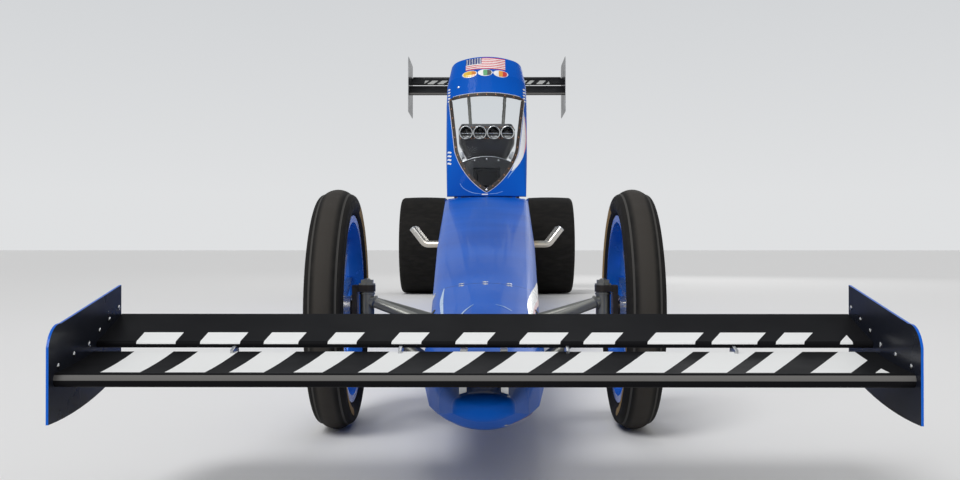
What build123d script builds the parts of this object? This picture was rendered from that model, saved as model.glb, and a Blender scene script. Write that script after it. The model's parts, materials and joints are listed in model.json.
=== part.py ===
from build123d import *
import math
import os

# A top fuel dragster at full size, in millimetres. The nose points to -Y, +X is the driver's left
# and the floor is z = 0. Stations are distances behind the front axle.

# Overall layout
wheelbase = 7620.0
front_overhang = 975.0
rear_overhang = 1050.0
front_axle_y = front_overhang - (front_overhang + wheelbase + rear_overhang) / 2
seat_gap = 0.3
moving_gap = 6.0
bearing_gap = 0.05
weld_gap = 0.8

# Body shell
body_wall = 3.0
nose_front = 125.0 - front_overhang
nose_end = 350.0
cowl_end = wheelbase - 2762.0
cockpit_end = cowl_end + 1192.0
tray_end = wheelbase - 640.0
tray_top_z = 250.0
split_front_z = 178.0
split_rear_z = 330.0
rim_z = 776.0
# station, half width, belly z, lower corner z, crown z, shoulder radius, crown rise
body_table = (
    (nose_front, 52.0, 150.0, 165.0, 200.0, 16.0, 8.0),
    (nose_front + 70, 75.0, 128.0, 152.0, 214.0, 26.0, 11.0),
    (nose_front + 250, 102.0, 95.0, 140.0, 240.0, 32.0, 12.0),
    (-380.0, 123.0, 72.0, 148.0, 264.0, 36.0, 13.0),
    (0.0, 132.0, 65.0, 150.0, 300.0, 42.0, 15.0),
    (1920.0, 205.0, 65.0, 142.0, 496.0, 50.0, 18.0),
    (cowl_end, 290.0, 65.0, 150.0, 788.0, 36.0, 14.0),
)
# station, half width at the lower corner, half width at the rim, belly z, lower corner z
cockpit_table = (
    (cowl_end, 290.0, 289.0, 65.0, 150.0),
    (cowl_end + 592, 300.0, 292.0, 65.0, 150.0),
    (cockpit_end, 286.0, 268.0, 65.0, 150.0),
    (tray_end, 276.0, 262.0, 68.0, 150.0),
)
dash_z = (712.0, 756.0)

# Canopy, given closed, then opened about its hinge
canopy_open_deg = 58.0
canopy_wall = 4.0
canopy_front = cowl_end + 26
canopy_base_z = rim_z + 5.0
hinge_station = cowl_end + 12
hinge_drop = 10.0
hinge_pin_r = 6.0
hinge_lug_r = 9.0
hinge_x = 190.0
hinge_lug_width = 22.0
hinge_ear_width = 8.0
hinge_side_gap = 0.5
canopy_lip = 60.0
# distance behind the canopy's front edge, half width, crown height, shoulder radius, crown rise
canopy_table = (
    (0.0, 276.0, 14.0, 6.0, 6.0),
    (300.0, 285.0, 168.0, 75.0, 38.0),
    (650.0, 286.0, 340.0, 115.0, 50.0),
    (790.0, 281.0, 386.0, 120.0, 50.0),
    (960.0, 256.0, 372.0, 118.0, 45.0),
)
canopy_length = canopy_table[-1][0]
screen_tip = 32.0
screen_rear = 650.0
screen_rear_half = 256.0
screen_waist = (300.0, 213.0)
screen_bow = (152.0, 140.0)

# Tie-down eye at the rear of the frame and the jacking pad under the rear axle
eye_bore_r = 12.5
eye_width = 12.0
eye_half = 26.0
pad_half = 50.0
pad_half_length = 35.0
pad_z = 292.0

# Frame tubes
rail_r = 16.0
brace_r = 11.0
cage_r = 19.0
sharp_bend_deg = 8.0
# station, half spacing, z
lower_rail = (
    (-300.0, 66.0, 114.0),
    (0.0, 78.0, 116.0),
    (1920.0, 150.0, 128.0),
    (hinge_station, 232.0, 150.0),
    (cockpit_end, 232.0, 152.0),
    (tray_end - 20, 240.0, 152.0),
    (wheelbase - 90, 240.0, 380.0),
)
upper_rail = (
    (-300.0, 64.0, 214.0),
    (0.0, 84.0, 240.0),
    (1920.0, 150.0, 430.0),
    (hinge_station, 236.0, 690.0),
    (cockpit_end - 150, 240.0, 680.0),
    (cockpit_end + 70, 240.0, 420.0),
    (tray_end - 20, 240.0, 420.0),
    (wheelbase - 90, 240.0, 560.0),
    (wheelbase + 510, 240.0, 600.0),
)
front_stations = (-250.0, 620.0, 1900.0, 3400.0, cowl_end - 58)
knee_station = cowl_end + 442
seat_front = cowl_end + 472
seat_rear = seat_front + 270
bay_stations = (cockpit_end + 100, tray_end - 420, tray_end - 40, wheelbase - 90)
upright_stations = (*front_stations, knee_station, *bay_stations)
seat_stations = (seat_front + 70, seat_rear)
lower_cross_stations = (*front_stations, knee_station, *seat_stations, bay_stations[0], bay_stations[2])
upper_cross_stations = (*front_stations, wheelbase - 290, wheelbase + 180, wheelbase + 470)
diagonals = tuple((bay_stations[a], bay_stations[b]) for a, b in ((0, 1), (2, 1), (2, 3)))
# where the side frames are made in sections, butted square
frame_joints = (cowl_end - 28, cockpit_end + 300, tray_end + 100)
tab_stations = (-250.0, 620.0, 3400.0, knee_station)
tab_width = 24.0
tab_half_gauge = 3.0
hoop_station = cockpit_end - 166
# half width, z of the main hoop's bends
hoop_bends = ((203.0, 172.0), (203.0, 820.0), (188.0, 1000.0), (112.0, 1118.0))

cage_low_z = 700.0
cage_drop = 15.0
# x, station, z where the bars beside the driver and the rear stays meet the upper rails
side_bar_foot = (226.0, cowl_end + 372, 722.0)
rear_stay_foot = (238.0, cockpit_end + 90, 430.0)

# Seat, standing on two cross tubes
seat_half = 175.0
seat_floor = 25.0
seat_floor_length = 310.0
seat_back_length = 560.0
seat_lean_deg = 28.0
seat_side_gauge = 12.0
seat_skirt = 136.0
bolster = (130.0, 420.0)

# Panel behind the driver's head, with its pad
surround_gauge = 8.0
surround_pad = (150.0, 105.0)
surround_pad_z = (900.0, 1060.0, 1100.0)
surround_pad_depth = 60.0

# Steering wheel: the column runs from the dash
wheel_station = cowl_end + 262
wheel_z = 640.0
column_r = 14.0
column_dash_z = 734.0
grip_r = 13.0
# x and z of a grip's lower and upper ends from the wheel's middle
grip_ends = ((60.0, -50.0), (120.0, 60.0))
wheel_bar = (75.0, 8.0, -45.0, 20.0)

# Wheels
front_tyre_r = 286.0
front_tyre_width = 88.0
front_rim_r = 214.0
front_rim_width = 70.0
rim_wall = 10.0
flange_height = 10.0
flange_width = 4.0
front_track = 704.0
rear_tyre_r = 457.0
rear_tyre_width = 450.0
rear_rim_r = 203.0
rear_rim_width = 412.0
rear_track = 1174.0
spoke_count = 10
rear_window_count = 8
rear_window_r = 33.0
rear_window_ring = 128.0
# how far a tyre's shoulder runs in, drops and leans, and how far the tread's edge lies below its middle
# how far a shoulder runs in, drops and leans, and how far the tread's edge lies below its middle
front_shoulder = (15.0, 16.0, 2.0)
front_crown = 11.0
rear_shoulder = (48.0, 36.0, 7.0)
rear_crown = 5.0

# Front axle and steering
kingpin_x = front_track / 2 - 68
kingpin_r = 10.0
sleeve_r = 17.0
sleeve_low_z = 222.0
sleeve_high_z = 326.0
ear_height = 16.0
web_width = 12.0
web_half = 24.0
ear_half = 20.0
kingpin_gap = 0.5
spindle_r = 12.0
hub_r = 30.0
hub_inner_x = front_track / 2 - 30
hub_outer_x = front_track / 2 + 32
arm_r = 12.0
arm_spread = 60.0
steering_arm = 110.0
stud_r = 6.0
stud_clearance = 3.2
tie_rod_r = 7.0
tie_eye_height = 15.0

# Front wing: section points are station and z
front_span = 1316.0
plate_thickness = 4.0
wing_lead = 17.0 - front_overhang
front_plane = ((wing_lead, 228.0), (wing_lead + 172, 257.0), 27.0, 9.0)
front_flap = ((wing_lead + 181, 267.0), (wing_lead + 306, 312.0), 15.0, 5.0)
# station and z of the endplate's corners, round from the lower front
front_plate = (
    (-front_overhang, 165.0),
    (-front_overhang, 282.0),
    (48.0 - front_overhang, 315.0),
    (152.0 - front_overhang, 334.0),
    (320.0 - front_overhang, 365.0),
    (320.0 - front_overhang, 212.0),
)
post_x = 34.0
post_width = 12.0
# front and rear stations and foot z of the two posts on each side
wing_posts = ((nose_front + 6, nose_front + 46, 180.0), (nose_front + 70, nose_front + 140, 195.0))

# Rear wing
rear_span = 1516.0
rear_lead = wheelbase + 102
rear_plane = ((rear_lead, 1914.0), (rear_lead + 268, 2034.0), 34.0, 16.0)
rear_flap = ((rear_lead + 282, 2050.0), (rear_lead + 504, 2148.0), 20.0, 10.0)
rear_plate_box = (rear_lead - 32, rear_lead + 578, 1745.0, 2280.0)
rear_plate_corner = 45.0
strut_r = 14.0
strut_foot_x = 92.0
strut_head_x = 182.0
# station and z of the feet and heads of the front and rear struts
strut_feet = ((wheelbase + 180, 578.0), (wheelbase + 470, 597.0))
strut_heads = ((wheelbase + 180, 1955.0), (wheelbase + 310, 2012.0))
strut_ties = (0.35, 0.72)

# Engine
crank_z = 400.0
engine_front = cockpit_end + 150
engine_rear = engine_front + 560
deck_height = 229.0
head_height = 118.0
cover_height = 72.0
bank_half = 82.0
pan_top_z = 226.0
pan_low_z = 112.0
pan_half = 112.0
blower_low_z = 800.0
blower_high_z = 1050.0
blower_half = 135.0
blower_front = engine_front + 62
blower_rear = blower_front + 538
throat_z = 1386.0
throat_r = 48.0
throat_pitch = 114.6
throat_depth = 120.0
hat_front = engine_front + 70
butterfly_depth = 52.0
belt_front = engine_front - 108
belt_width = 80.0
belt_thickness = 8.0
top_pulley_r = 78.0
crank_pulley_r = 66.0
top_pulley_z = 925.0
pipe_r = 28.0
pipe_wall = 2.0
can_r = 185.0
plate_gauge = 6.0

# Rear axle
axle_z = rear_tyre_r
shaft_r = 25.0
housing_tube_r = 55.0
case_r = 150.0
case_half = 115.0
rear_tyre_inner = (rear_track - rear_tyre_width) / 2
flange_x = rear_track / 2 - 99
disc_r = 150.0
disc_x = rear_tyre_inner - 10
disc_width = 12.0
housing_end_x = disc_x - 22
snout_front = wheelbase - 200
snout_r = 90.0
cover_r = 62.0

# Parachute packs and their trays, between the rear tyres
pack_front = wheelbase + 110
pack_length = 390.0
pack_span = (pack_front, pack_front + pack_length)
pack_x = (160.0, rear_tyre_inner - 32)
pack_height = 170.0
pack_round = 38.0
tray_z = 624.0
tray_inset = 25.0

# Wheelie bar
wheelie_r = 50.0
wheelie_width = 32.0
wheelie_round = 7.0
wheelie_z = 150.0
wheelie_station = wheelbase + rear_overhang - wheelie_r
wheelie_x = 172.0
wheelie_pin_r = 8.0
wheelie_link = wheelbase + 560


def at(station):
    return front_axle_y + station


def block(x, station, z):
    size = (x[1] - x[0], station[1] - station[0], z[1] - z[0])
    middle = ((x[0] + x[1]) / 2, at((station[0] + station[1]) / 2), (z[0] + z[1]) / 2)
    return Pos(*middle) * Box(*size)


def rod(start, end, radius):
    # Ends are x, station, z.
    first = Vector(start[0], at(start[1]), start[2])
    last = Vector(end[0], at(end[1]), end[2])
    run = last - first
    return extrude(Plane(origin=first, z_dir=run) * Circle(radius), amount=run.length)


def drum(x, station, z, radius):
    # A cylinder along X between two values of x.
    return rod((x[0], station, z), (x[1], station, z), radius)


def both_sides(piece):
    return piece + mirror(piece, about=Plane.YZ)


def mix(table, place):
    # The row of a table at a place, straight between its rows.
    if place <= table[0][0]:
        return table[0][1:]
    for low, high in zip(table, table[1:]):
        if place <= high[0]:
            share = (place - low[0]) / (high[0] - low[0])
            return tuple(p + share * (q - p) for p, q in zip(low[1:], high[1:]))
    return table[-1][1:]


def crown_edges(y, half, crown, radius, rise):
    # The shoulder arcs and the crown arc, tangent to each other, and the height where a shoulder starts.
    top_half = half - radius / 2
    for _ in range(6):
        slope = 2 * math.atan(rise / top_half)
        top_half = half - radius * (1 - math.sin(slope))
    edge_z = crown - rise
    shoulder_z = edge_z - radius * math.cos(slope)
    middle = (math.pi / 2 + slope) / 2
    middle_x = half - radius + radius * math.sin(middle)
    middle_z = shoulder_z + radius * math.cos(middle)
    right = ThreePointArc((half, y, shoulder_z), (middle_x, y, middle_z), (top_half, y, edge_z))
    top = ThreePointArc((top_half, y, edge_z), (0, y, crown), (-top_half, y, edge_z))
    left = ThreePointArc((-top_half, y, edge_z), (-middle_x, y, middle_z), (-half, y, shoulder_z))
    return [right, top, left], shoulder_z


def body_section(station, inset):
    half, belly, corner, crown, radius, rise = mix(body_table, station)
    y = at(station)
    half, belly, corner = half - inset, belly + inset, corner + inset / 2
    over, shoulder_z = crown_edges(y, half, crown - inset, max(radius - inset, 2.0), rise)
    under = ThreePointArc((-half, y, corner), (0, y, belly), (half, y, corner))
    right = Line((half, y, corner), (half, y, shoulder_z))
    left = Line((-half, y, shoulder_z), (-half, y, corner))
    return make_face(Wire([under, right, *over, left]))


def cockpit_section(station, inset, top_z):
    half, rim_half, belly, corner = mix(cockpit_table, station)
    y = at(station)
    share = (top_z - corner) / (rim_z - corner)
    top_half = half + share * (rim_half - half) - inset
    half, belly, corner = half - inset, belly + inset, corner + inset / 2
    under = ThreePointArc((-half, y, corner), (0, y, belly), (half, y, corner))
    right = Line((half, y, corner), (top_half, y, top_z))
    top = Line((top_half, y, top_z), (-top_half, y, top_z))
    left = Line((-top_half, y, top_z), (-half, y, corner))
    return make_face(Wire([under, right, top, left]))


def canopy_section(place, inset, base):
    half, crown, radius, rise = mix(canopy_table, place)
    y = at(canopy_front + place)
    half -= inset
    crown = canopy_base_z + crown - inset
    over, shoulder_z = crown_edges(y, half, crown, max(radius - inset, 2.0), rise)
    low = canopy_base_z + base
    right = Line((half, y, low), (half, y, shoulder_z))
    left = Line((-half, y, shoulder_z), (-half, y, low))
    under = Line((-half, y, low), (half, y, low))
    return make_face(Wire([under, right, *over, left]))


def stations_between(table, start, end):
    return [start, *(row[0] for row in table if start < row[0] < end), end]


def body_form(start, end, inset):
    return loft([body_section(s, inset) for s in stations_between(body_table, start, end)], ruled=True)


def cockpit_form(start, end, inset, top_z):
    places = stations_between(cockpit_table, start, end)
    return loft([cockpit_section(s, inset, top_z) for s in places], ruled=True)


def canopy_form(start, end, inset, base):
    places = stations_between(canopy_table, start, end)
    return loft([canopy_section(p, inset, base) for p in places], ruled=True)


def below_split():
    # Everything under the seam between the upper and lower body panels.
    wide, deep = 1000.0, -200.0
    far_front, far_rear = -1200.0, wheelbase
    rise = (split_rear_z - split_front_z) / (cowl_end - nose_end)
    front_z = split_front_z - rise * (nose_end - far_front)
    corners = (
        (at(far_front), deep),
        (at(far_rear), deep),
        (at(far_rear), split_rear_z),
        (at(cowl_end), split_rear_z),
        (at(far_front), front_z),
    )
    outline = make_face(Wire([Line(p, q) for p, q in zip(corners, corners[1:] + corners[:1])]))
    return extrude(Plane(origin=(-wide, 0, 0), x_dir=(0, 1, 0), z_dir=(1, 0, 0)) * outline, amount=2 * wide)


def wing_section(nose, tail, thickness, sag):
    # A rounded leading edge, two gentle arcs and a blunt trailing edge, in station and z.
    run = math.hypot(tail[0] - nose[0], tail[1] - nose[1])
    along = ((tail[0] - nose[0]) / run, (tail[1] - nose[1]) / run)
    up = (-along[1], along[0])

    def point(far, high):
        return (at(nose[0] + along[0] * far + up[0] * high), nose[1] + along[1] * far + up[1] * high)

    lead = thickness * 0.4
    upper_start, upper_middle = point(lead, lead), point(run * 0.5, lead * 0.9 - sag * 0.6)
    lower_start, lower_middle = point(lead, -lead), point(run * 0.42, -lead - sag)
    edges = [
        ThreePointArc(lower_start, point(0, 0), upper_start),
        ThreePointArc(upper_start, upper_middle, point(run, 1)),
        Line(point(run, 1), point(run, -1)),
        ThreePointArc(point(run, -1), lower_middle, lower_start),
    ]
    return make_face(Wire(edges))


def span_piece(section, span):
    plane = Plane(origin=(-span / 2, 0, 0), x_dir=(0, 1, 0), z_dir=(1, 0, 0))
    return extrude(plane * section, amount=span)


def side_plate(outline, x, thickness):
    # An outline of station and z, standing at one x.
    plane = Plane(origin=(x - thickness / 2, 0, 0), x_dir=(0, 1, 0), z_dir=(1, 0, 0))
    return extrude(plane * outline, amount=thickness)


def polyline_tubes(row, radius, side):
    # Tubes through a row of stations, half widths and heights, with a ball in each sharp bend.
    points = [Vector(side * p[1], p[0], p[2]) for p in row]
    pieces = [rod(tuple(p), tuple(q), radius) for p, q in zip(points, points[1:])]
    for before, here, after in zip(points, points[1:], points[2:]):
        if (here - before).get_angle(after - here) > sharp_bend_deg:
            pieces.append(Pos(here.X, at(here.Y), here.Z) * Sphere(radius))
    return pieces


def fuse(pieces):
    return pieces[0].fuse(*pieces[1:])


def largest(piece):
    return max(piece.solids(), key=lambda s: s.volume)


# Frame

def side_frame():
    # The left side's rails, uprights and diagonals, with its panel tabs and the parachute tray's brackets.
    tubes = polyline_tubes(lower_rail, rail_r, 1) + polyline_tubes(upper_rail, rail_r, 1)
    for station in upright_stations:
        low_x, low_z = mix(lower_rail, station)
        high_x, high_z = mix(upper_rail, station)
        tubes.append(rod((low_x, station, low_z), (high_x, station, high_z), brace_r))
    for low_station, high_station in diagonals:
        low_x, low_z = mix(lower_rail, low_station)
        high_x, high_z = mix(upper_rail, high_station)
        tubes.append(rod((low_x, low_station, low_z), (high_x, high_station, high_z), brace_r))
    return fuse(tubes + panel_tabs() + tray_brackets())


def panel_tabs():
    # Flat tabs between the rails and the inside of the body panels.
    long_room = body_form(-700.0, cowl_end, body_wall + seat_gap)
    cockpit_room = cockpit_form(cowl_end, tray_end, body_wall + seat_gap, rim_z)
    tabs = []
    for station in tab_stations:
        room = long_room if station < cowl_end else cockpit_room
        for table in (lower_rail, upper_rail):
            x, z = mix(table, station)
            span = (station - tab_width / 2, station + tab_width / 2)
            tabs.append(block((x, x + 200), span, (z - tab_half_gauge, z + tab_half_gauge)) & room)
    return tabs


def tray_brackets():
    # Two flat posts from the upper rail to the underside of the parachute tray.
    posts = []
    for station in (pack_span[0] + 70, pack_span[1] - 60):
        rail_x, rail_z = mix(upper_rail, station)
        posts.append(block((rail_x - 8, rail_x + 8), (station - 10, station + 10), (rail_z, tray_z)))
    return posts


def pack_tray():
    x = (pack_x[0] + 5, pack_x[1] - 5)
    return block(x, (pack_span[0] + tray_inset, pack_span[1] - tray_inset), (tray_z, tray_z + plate_gauge))


def sections(piece, stations):
    # The piece cut square across at each station.
    wide, ends = 1000.0, (-front_overhang, wheelbase + rear_overhang)
    places = [ends[0], *stations, ends[1]]
    cuts = [block((-wide, wide), (p, q), (-wide, 2 * wide)) for p, q in zip(places, places[1:])]
    return [solid for cut in cuts for solid in (piece & cut).solids()]


def cross_tubes():
    # The tubes from side to side. They stop a hair short of the rails, as before welding.
    tubes = []
    for table, stations in ((lower_rail, lower_cross_stations), (upper_rail, upper_cross_stations)):
        for station in stations:
            x, z = mix(table, station)
            reach = x - rail_r - weld_gap
            tubes.append(drum((-reach, reach), station, z, brace_r))
    tubes[-1] = fuse([tubes[-1], tie_down_lug()])
    return tubes


def tie_down_lug():
    # An eye behind the last cross tube. A pin through it from the side clears the rails' ends.
    x = (-eye_width / 2, eye_width / 2)
    z = mix(upper_rail, upper_cross_stations[-1])[1]
    station = upper_rail[-1][0] + eye_bore_r + moving_gap
    lug = block(x, (upper_cross_stations[-1], station), (z - eye_half, z + eye_half))
    lug = lug.fuse(drum(x, station, z, eye_half))
    return lug - drum((x[0] - 1, x[1] + 1), station, z, eye_bore_r)


def make_frame():
    left = [*sections(side_frame(), frame_joints), pack_tray()]
    return left + [mirror(piece, about=Plane.YZ) for piece in left] + cross_tubes()


def cage_stays(side):
    # The bars beside the driver and the stays behind the main hoop.
    head = (side * hoop_bends[2][0], hoop_station, hoop_bends[2][1] - cage_drop)
    return [(head, (side * foot[0], foot[1], foot[2])) for foot in (side_bar_foot, rear_stay_foot)]


def make_cage(frame):
    bars = []
    for side in (1, -1):
        for p, q in zip(hoop_bends, hoop_bends[1:]):
            bars.append(rod((side * p[0], hoop_station, p[1]), (side * q[0], hoop_station, q[1]), cage_r))
        bars += [Pos(side * p[0], at(hoop_station), p[1]) * Sphere(cage_r) for p in hoop_bends[1:]]
        bars += [rod(start, end, rail_r) for start, end in cage_stays(side)]
    top_x, top_z = hoop_bends[-1]
    bars.append(rod((-top_x, hoop_station, top_z), (top_x, hoop_station, top_z), cage_r))
    low_x = hoop_bends[0][0]
    bars.append(rod((-low_x, hoop_station, cage_low_z), (low_x, hoop_station, cage_low_z), rail_r))
    return fuse(bars).cut(*frame)


# Body

def make_nose():
    hollow = body_form(nose_front + 2 * body_wall, nose_end + 1, body_wall)
    shell = body_form(nose_front, nose_end, 0.0) - hollow
    holes = [drum((60, 200), steering_arm, tie_rod_z, tie_rod_r + moving_gap)]
    for reach in arm_reaches():
        holes.append(rod(reach[0], reach[1], arm_r + 1.0))
    for hole in holes:
        shell = shell - hole - mirror(hole, about=Plane.YZ)
    return shell


def make_panels():
    below = below_split()
    long_shell = body_form(nose_end, cowl_end, 0.0) - body_form(nose_end - 1, cowl_end + 1, body_wall)
    tub = cockpit_form(cowl_end, cockpit_end, 0.0, rim_z) - cockpit_form(
        cowl_end - 1, cockpit_end + 1, body_wall, rim_z + 1
    )
    tray = cockpit_form(cockpit_end, tray_end, 0.0, tray_top_z) - cockpit_form(
        cockpit_end - 1, tray_end + 1, body_wall, tray_top_z + 1
    )
    upper = long_shell - below
    lower = fuse([long_shell & below, tub & below, tray])
    sides = tub - below
    wall = cockpit_form(cockpit_end - plate_gauge, cockpit_end, 0.0, rim_z) - below
    rails = [rod((s * p[1], p[0], p[2]), (s * q[1], q[0], q[2]), rail_r + 1.0)
             for s in (1, -1) for p, q in zip(upper_rail[4:6], upper_rail[5:7])]
    rails += [rod(*cage_stays(side)[1], rail_r + 1.0) for side in (1, -1)]
    dash_span = (cowl_end, cowl_end + plate_gauge)
    dash = cockpit_form(*dash_span, 0.0, rim_z) & block((-300, 300), dash_span, dash_z)
    sides = fuse([sides, wall, dash] + hinge_ears())
    for rail in rails:
        sides = sides - rail
    return upper, lower, sides


def hinge_z():
    return canopy_base_z - hinge_drop


def hinge_ears():
    ears = []
    inner = hinge_lug_width / 2 + hinge_side_gap
    span, z = (cowl_end + 2, hinge_station + 10), (rim_z - 40, hinge_z() + 8)
    for middle in (hinge_x, -hinge_x):
        for start in (middle + inner, middle - inner - hinge_ear_width):
            end = start + hinge_ear_width
            bore = drum((start - 1, end + 1), hinge_station, hinge_z(), hinge_pin_r + bearing_gap)
            ears.append(block((start, end), span, z) - bore)
    return ears


# Canopy

def screen_prism():
    y = [at(canopy_front + screen_tip), at(canopy_front + screen_rear)]
    bow = (screen_bow[1], at(canopy_front + screen_bow[0]))
    waist = (screen_waist[1], at(canopy_front + screen_waist[0]))
    half = screen_rear_half
    edges = [
        ThreePointArc((0, y[0]), bow, waist),
        Line(waist, (half, y[1])),
        ThreePointArc((half, y[1]), (0, y[1] - 8), (-half, y[1])),
        Line((-half, y[1]), (-waist[0], waist[1])),
        ThreePointArc((-waist[0], waist[1]), (-bow[0], bow[1]), (0, y[0])),
    ]
    return extrude(Plane.XY.offset(canopy_base_z - 10) * make_face(Wire(edges)), amount=500)


def make_canopy():
    hollow = canopy_form(canopy_lip, canopy_length + 1, canopy_wall, -1.0)
    shell = canopy_form(0, canopy_length, 0.0, 0.0) - hollow
    prism = screen_prism()
    screen = shell & prism
    shell = shell - prism
    lugs = []
    for middle in (hinge_x, -hinge_x):
        x = (middle - hinge_lug_width / 2, middle + hinge_lug_width / 2)
        eye = drum(x, hinge_station, hinge_z(), hinge_lug_r)
        foot = block(x, (hinge_station, canopy_front + 26), (hinge_z() - 5, canopy_base_z + 1))
        reach = hinge_lug_width / 2 + hinge_side_gap + hinge_ear_width
        pin = drum((middle - reach, middle + reach), hinge_station, hinge_z(), hinge_pin_r)
        lugs.append(fuse([eye, foot, pin]))
    shell = fuse([shell] + lugs)
    axis = Axis((0, at(hinge_station), hinge_z()), (1, 0, 0))
    return shell.rotate(axis, canopy_open_deg), screen.rotate(axis, canopy_open_deg)


# Cockpit

def make_seat():
    # The floor, the leaning back, its side bolsters and the skirts that join them.
    low_z = mix(lower_rail, seat_rear)[1] + brace_r + seat_gap
    span = (seat_front, seat_front + seat_floor_length)
    floor = block((-seat_half, seat_half), span, (low_z, low_z + seat_floor))
    lean = Rot(-seat_lean_deg, 0, 0)
    back = Pos(0, at(seat_rear + 94), low_z + 248) * lean * Box(2 * seat_half, seat_floor, seat_back_length)
    side_x = seat_half - seat_side_gauge / 2
    side = Pos(side_x, at(seat_rear + 84), low_z + 208) * lean * Box(seat_side_gauge, *bolster)
    skirt = block((seat_half - seat_side_gauge, seat_half), span, (low_z, low_z + seat_skirt))
    return fuse([floor, back, side, mirror(side, about=Plane.YZ), skirt, mirror(skirt, about=Plane.YZ)])


def make_head_surround():
    # The arched panel behind the driver's head, which the closed canopy meets, and the pad's frame on it.
    start = canopy_front + canopy_length + moving_gap
    face = canopy_section(canopy_length, 0.0, -4.0)
    plate = extrude(Pos(0, moving_gap, 0) * face, amount=surround_gauge, dir=(0, 1, 0))
    outer, inner = surround_pad
    low, roof, high = surround_pad_z
    pad = block((-outer, outer), (start - surround_pad_depth, start + 1), (low, high))
    hollow = block((-inner, inner), (start - surround_pad_depth - 1, start - surround_gauge), (low - 1, roof))
    return fuse([plate, pad - hollow])


def make_steering_wheel():
    z = wheel_z
    column = rod((0, cowl_end + 4, column_dash_z), (0, wheel_station, z), column_r)
    (low_x, low_z), (high_x, high_z) = grip_ends
    grips = [rod((s * low_x, wheel_station, z + low_z), (s * high_x, wheel_station, z + high_z), grip_r)
             for s in (1, -1)]
    half, half_depth, low, high = wheel_bar
    bar = block((-half, half), (wheel_station - half_depth, wheel_station + half_depth), (z + low, z + high))
    return fuse([column, bar] + grips)


# Front wing

def front_plate_outline():
    points = [(at(s), z) for s, z in front_plate]
    upper_bow = (points[1][0] + 13, points[1][1] + 21)
    lower_bow = (points[0][0] + 125, points[0][1] + 7)
    edges = [
        Line(points[0], points[1]),
        ThreePointArc(points[1], upper_bow, points[2]),
        Line(points[2], points[3]),
        Line(points[3], points[4]),
        Line(points[4], points[5]),
        ThreePointArc(points[5], lower_bow, points[0]),
    ]
    return make_face(Wire(edges))


def make_front_wing():
    plane = span_piece(wing_section(*front_plane), front_span - 2 * plate_thickness)
    flap = span_piece(wing_section(*front_flap), front_span - 2 * plate_thickness)
    plate = side_plate(front_plate_outline(), front_span / 2 - plate_thickness / 2, plate_thickness)
    plates = both_sides(plate)
    posts = []
    for side in (1, -1):
        x = (side * post_x - post_width / 2, side * post_x + post_width / 2)
        posts += [block(x, (front, rear), (foot, foot + 66)) for front, rear, foot in wing_posts]
    return plane, flap, plates, posts


# Front axle, knuckles and steering

tie_rod_z = sleeve_low_z - ear_height - seat_gap - kingpin_gap - tie_eye_height / 2


def arm_reaches():
    high_z = sleeve_high_z - 22
    low_z = sleeve_low_z + 36
    rows = []
    for offset in (arm_spread, -arm_spread):
        for z, table in ((high_z, upper_rail), (low_z, lower_rail)):
            x, rail_z = mix(table, offset)
            rows.append(((kingpin_x - sleeve_r / 2, offset * 0.1, z), (x, offset, rail_z)))
    return rows


def make_front_arms(frame):
    sleeve = rod((kingpin_x, 0, sleeve_low_z), (kingpin_x, 0, sleeve_high_z), sleeve_r)
    tubes = [rod(start, end, arm_r) for start, end in arm_reaches()]
    bore = rod((kingpin_x, 0, sleeve_low_z - 1), (kingpin_x, 0, sleeve_high_z + 1), kingpin_r + bearing_gap)
    arm = fuse([sleeve] + tubes) - bore
    arm = arm.cut(*frame)
    return both_sides(largest(arm))


def make_knuckle():
    low = (sleeve_low_z - kingpin_gap - ear_height, sleeve_low_z - kingpin_gap)
    high = (sleeve_high_z + kingpin_gap, sleeve_high_z + kingpin_gap + ear_height)
    web_x = (kingpin_x + sleeve_r + 5, kingpin_x + sleeve_r + 5 + web_width)
    web = block(web_x, (-web_half, web_half), (low[0], high[1]))
    ears = []
    for z in (low, high):
        ears.append(block((kingpin_x, web_x[1]), (-ear_half, ear_half), z))
        ears.append(rod((kingpin_x, 0, z[0]), (kingpin_x, 0, z[1]), ear_half))
    pin = rod((kingpin_x, 0, low[0]), (kingpin_x, 0, high[1] + 12), kingpin_r)
    arm = block((kingpin_x - 11, kingpin_x + 11), (0, steering_arm), low)
    boss = rod((kingpin_x, steering_arm, low[0]), (kingpin_x, steering_arm, low[1]), 14)
    stud_low_z = low[0] - tie_eye_height - 6
    stud = rod((kingpin_x, steering_arm, stud_low_z), (kingpin_x, steering_arm, low[1]), stud_r)
    spindle = drum((web_x[0], hub_outer_x + 14), 0, front_tyre_r, spindle_r)
    shoulder = drum((web_x[1] - 1, hub_inner_x - seat_gap), 0, front_tyre_r, 20)
    nut = drum((hub_outer_x + seat_gap, hub_outer_x + 12), 0, front_tyre_r, 20)
    return fuse([web, pin, arm, boss, stud, spindle, shoulder, nut] + ears)


def make_tie_rod():
    rod_piece = drum((-kingpin_x + 12, kingpin_x - 12), steering_arm, tie_rod_z, tie_rod_r)
    eyes = []
    for side in (1, -1):
        low, high = tie_rod_z - tie_eye_height / 2, tie_rod_z + tie_eye_height / 2
        x = side * kingpin_x
        eyes.append(rod((x, steering_arm, low), (x, steering_arm, high), stud_r + stud_clearance + 6))
    piece = fuse([rod_piece] + eyes)
    bore = Cylinder(stud_r + stud_clearance, 40)
    for side in (1, -1):
        piece = piece - Pos(side * kingpin_x, at(steering_arm), tie_rod_z) * bore
    return piece


# Wheels: profiles are x from the middle plane and radius

def turned(points, x, z, station):
    edges = [Line(p, q) for p, q in zip(points, points[1:] + points[:1])]
    face = make_face(Wire([Edge.make_line(e @ 0, e @ 1) for e in edges]))
    ring = revolve(face, Axis.X, 360)
    return Pos(x, at(station), z) * ring


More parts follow.
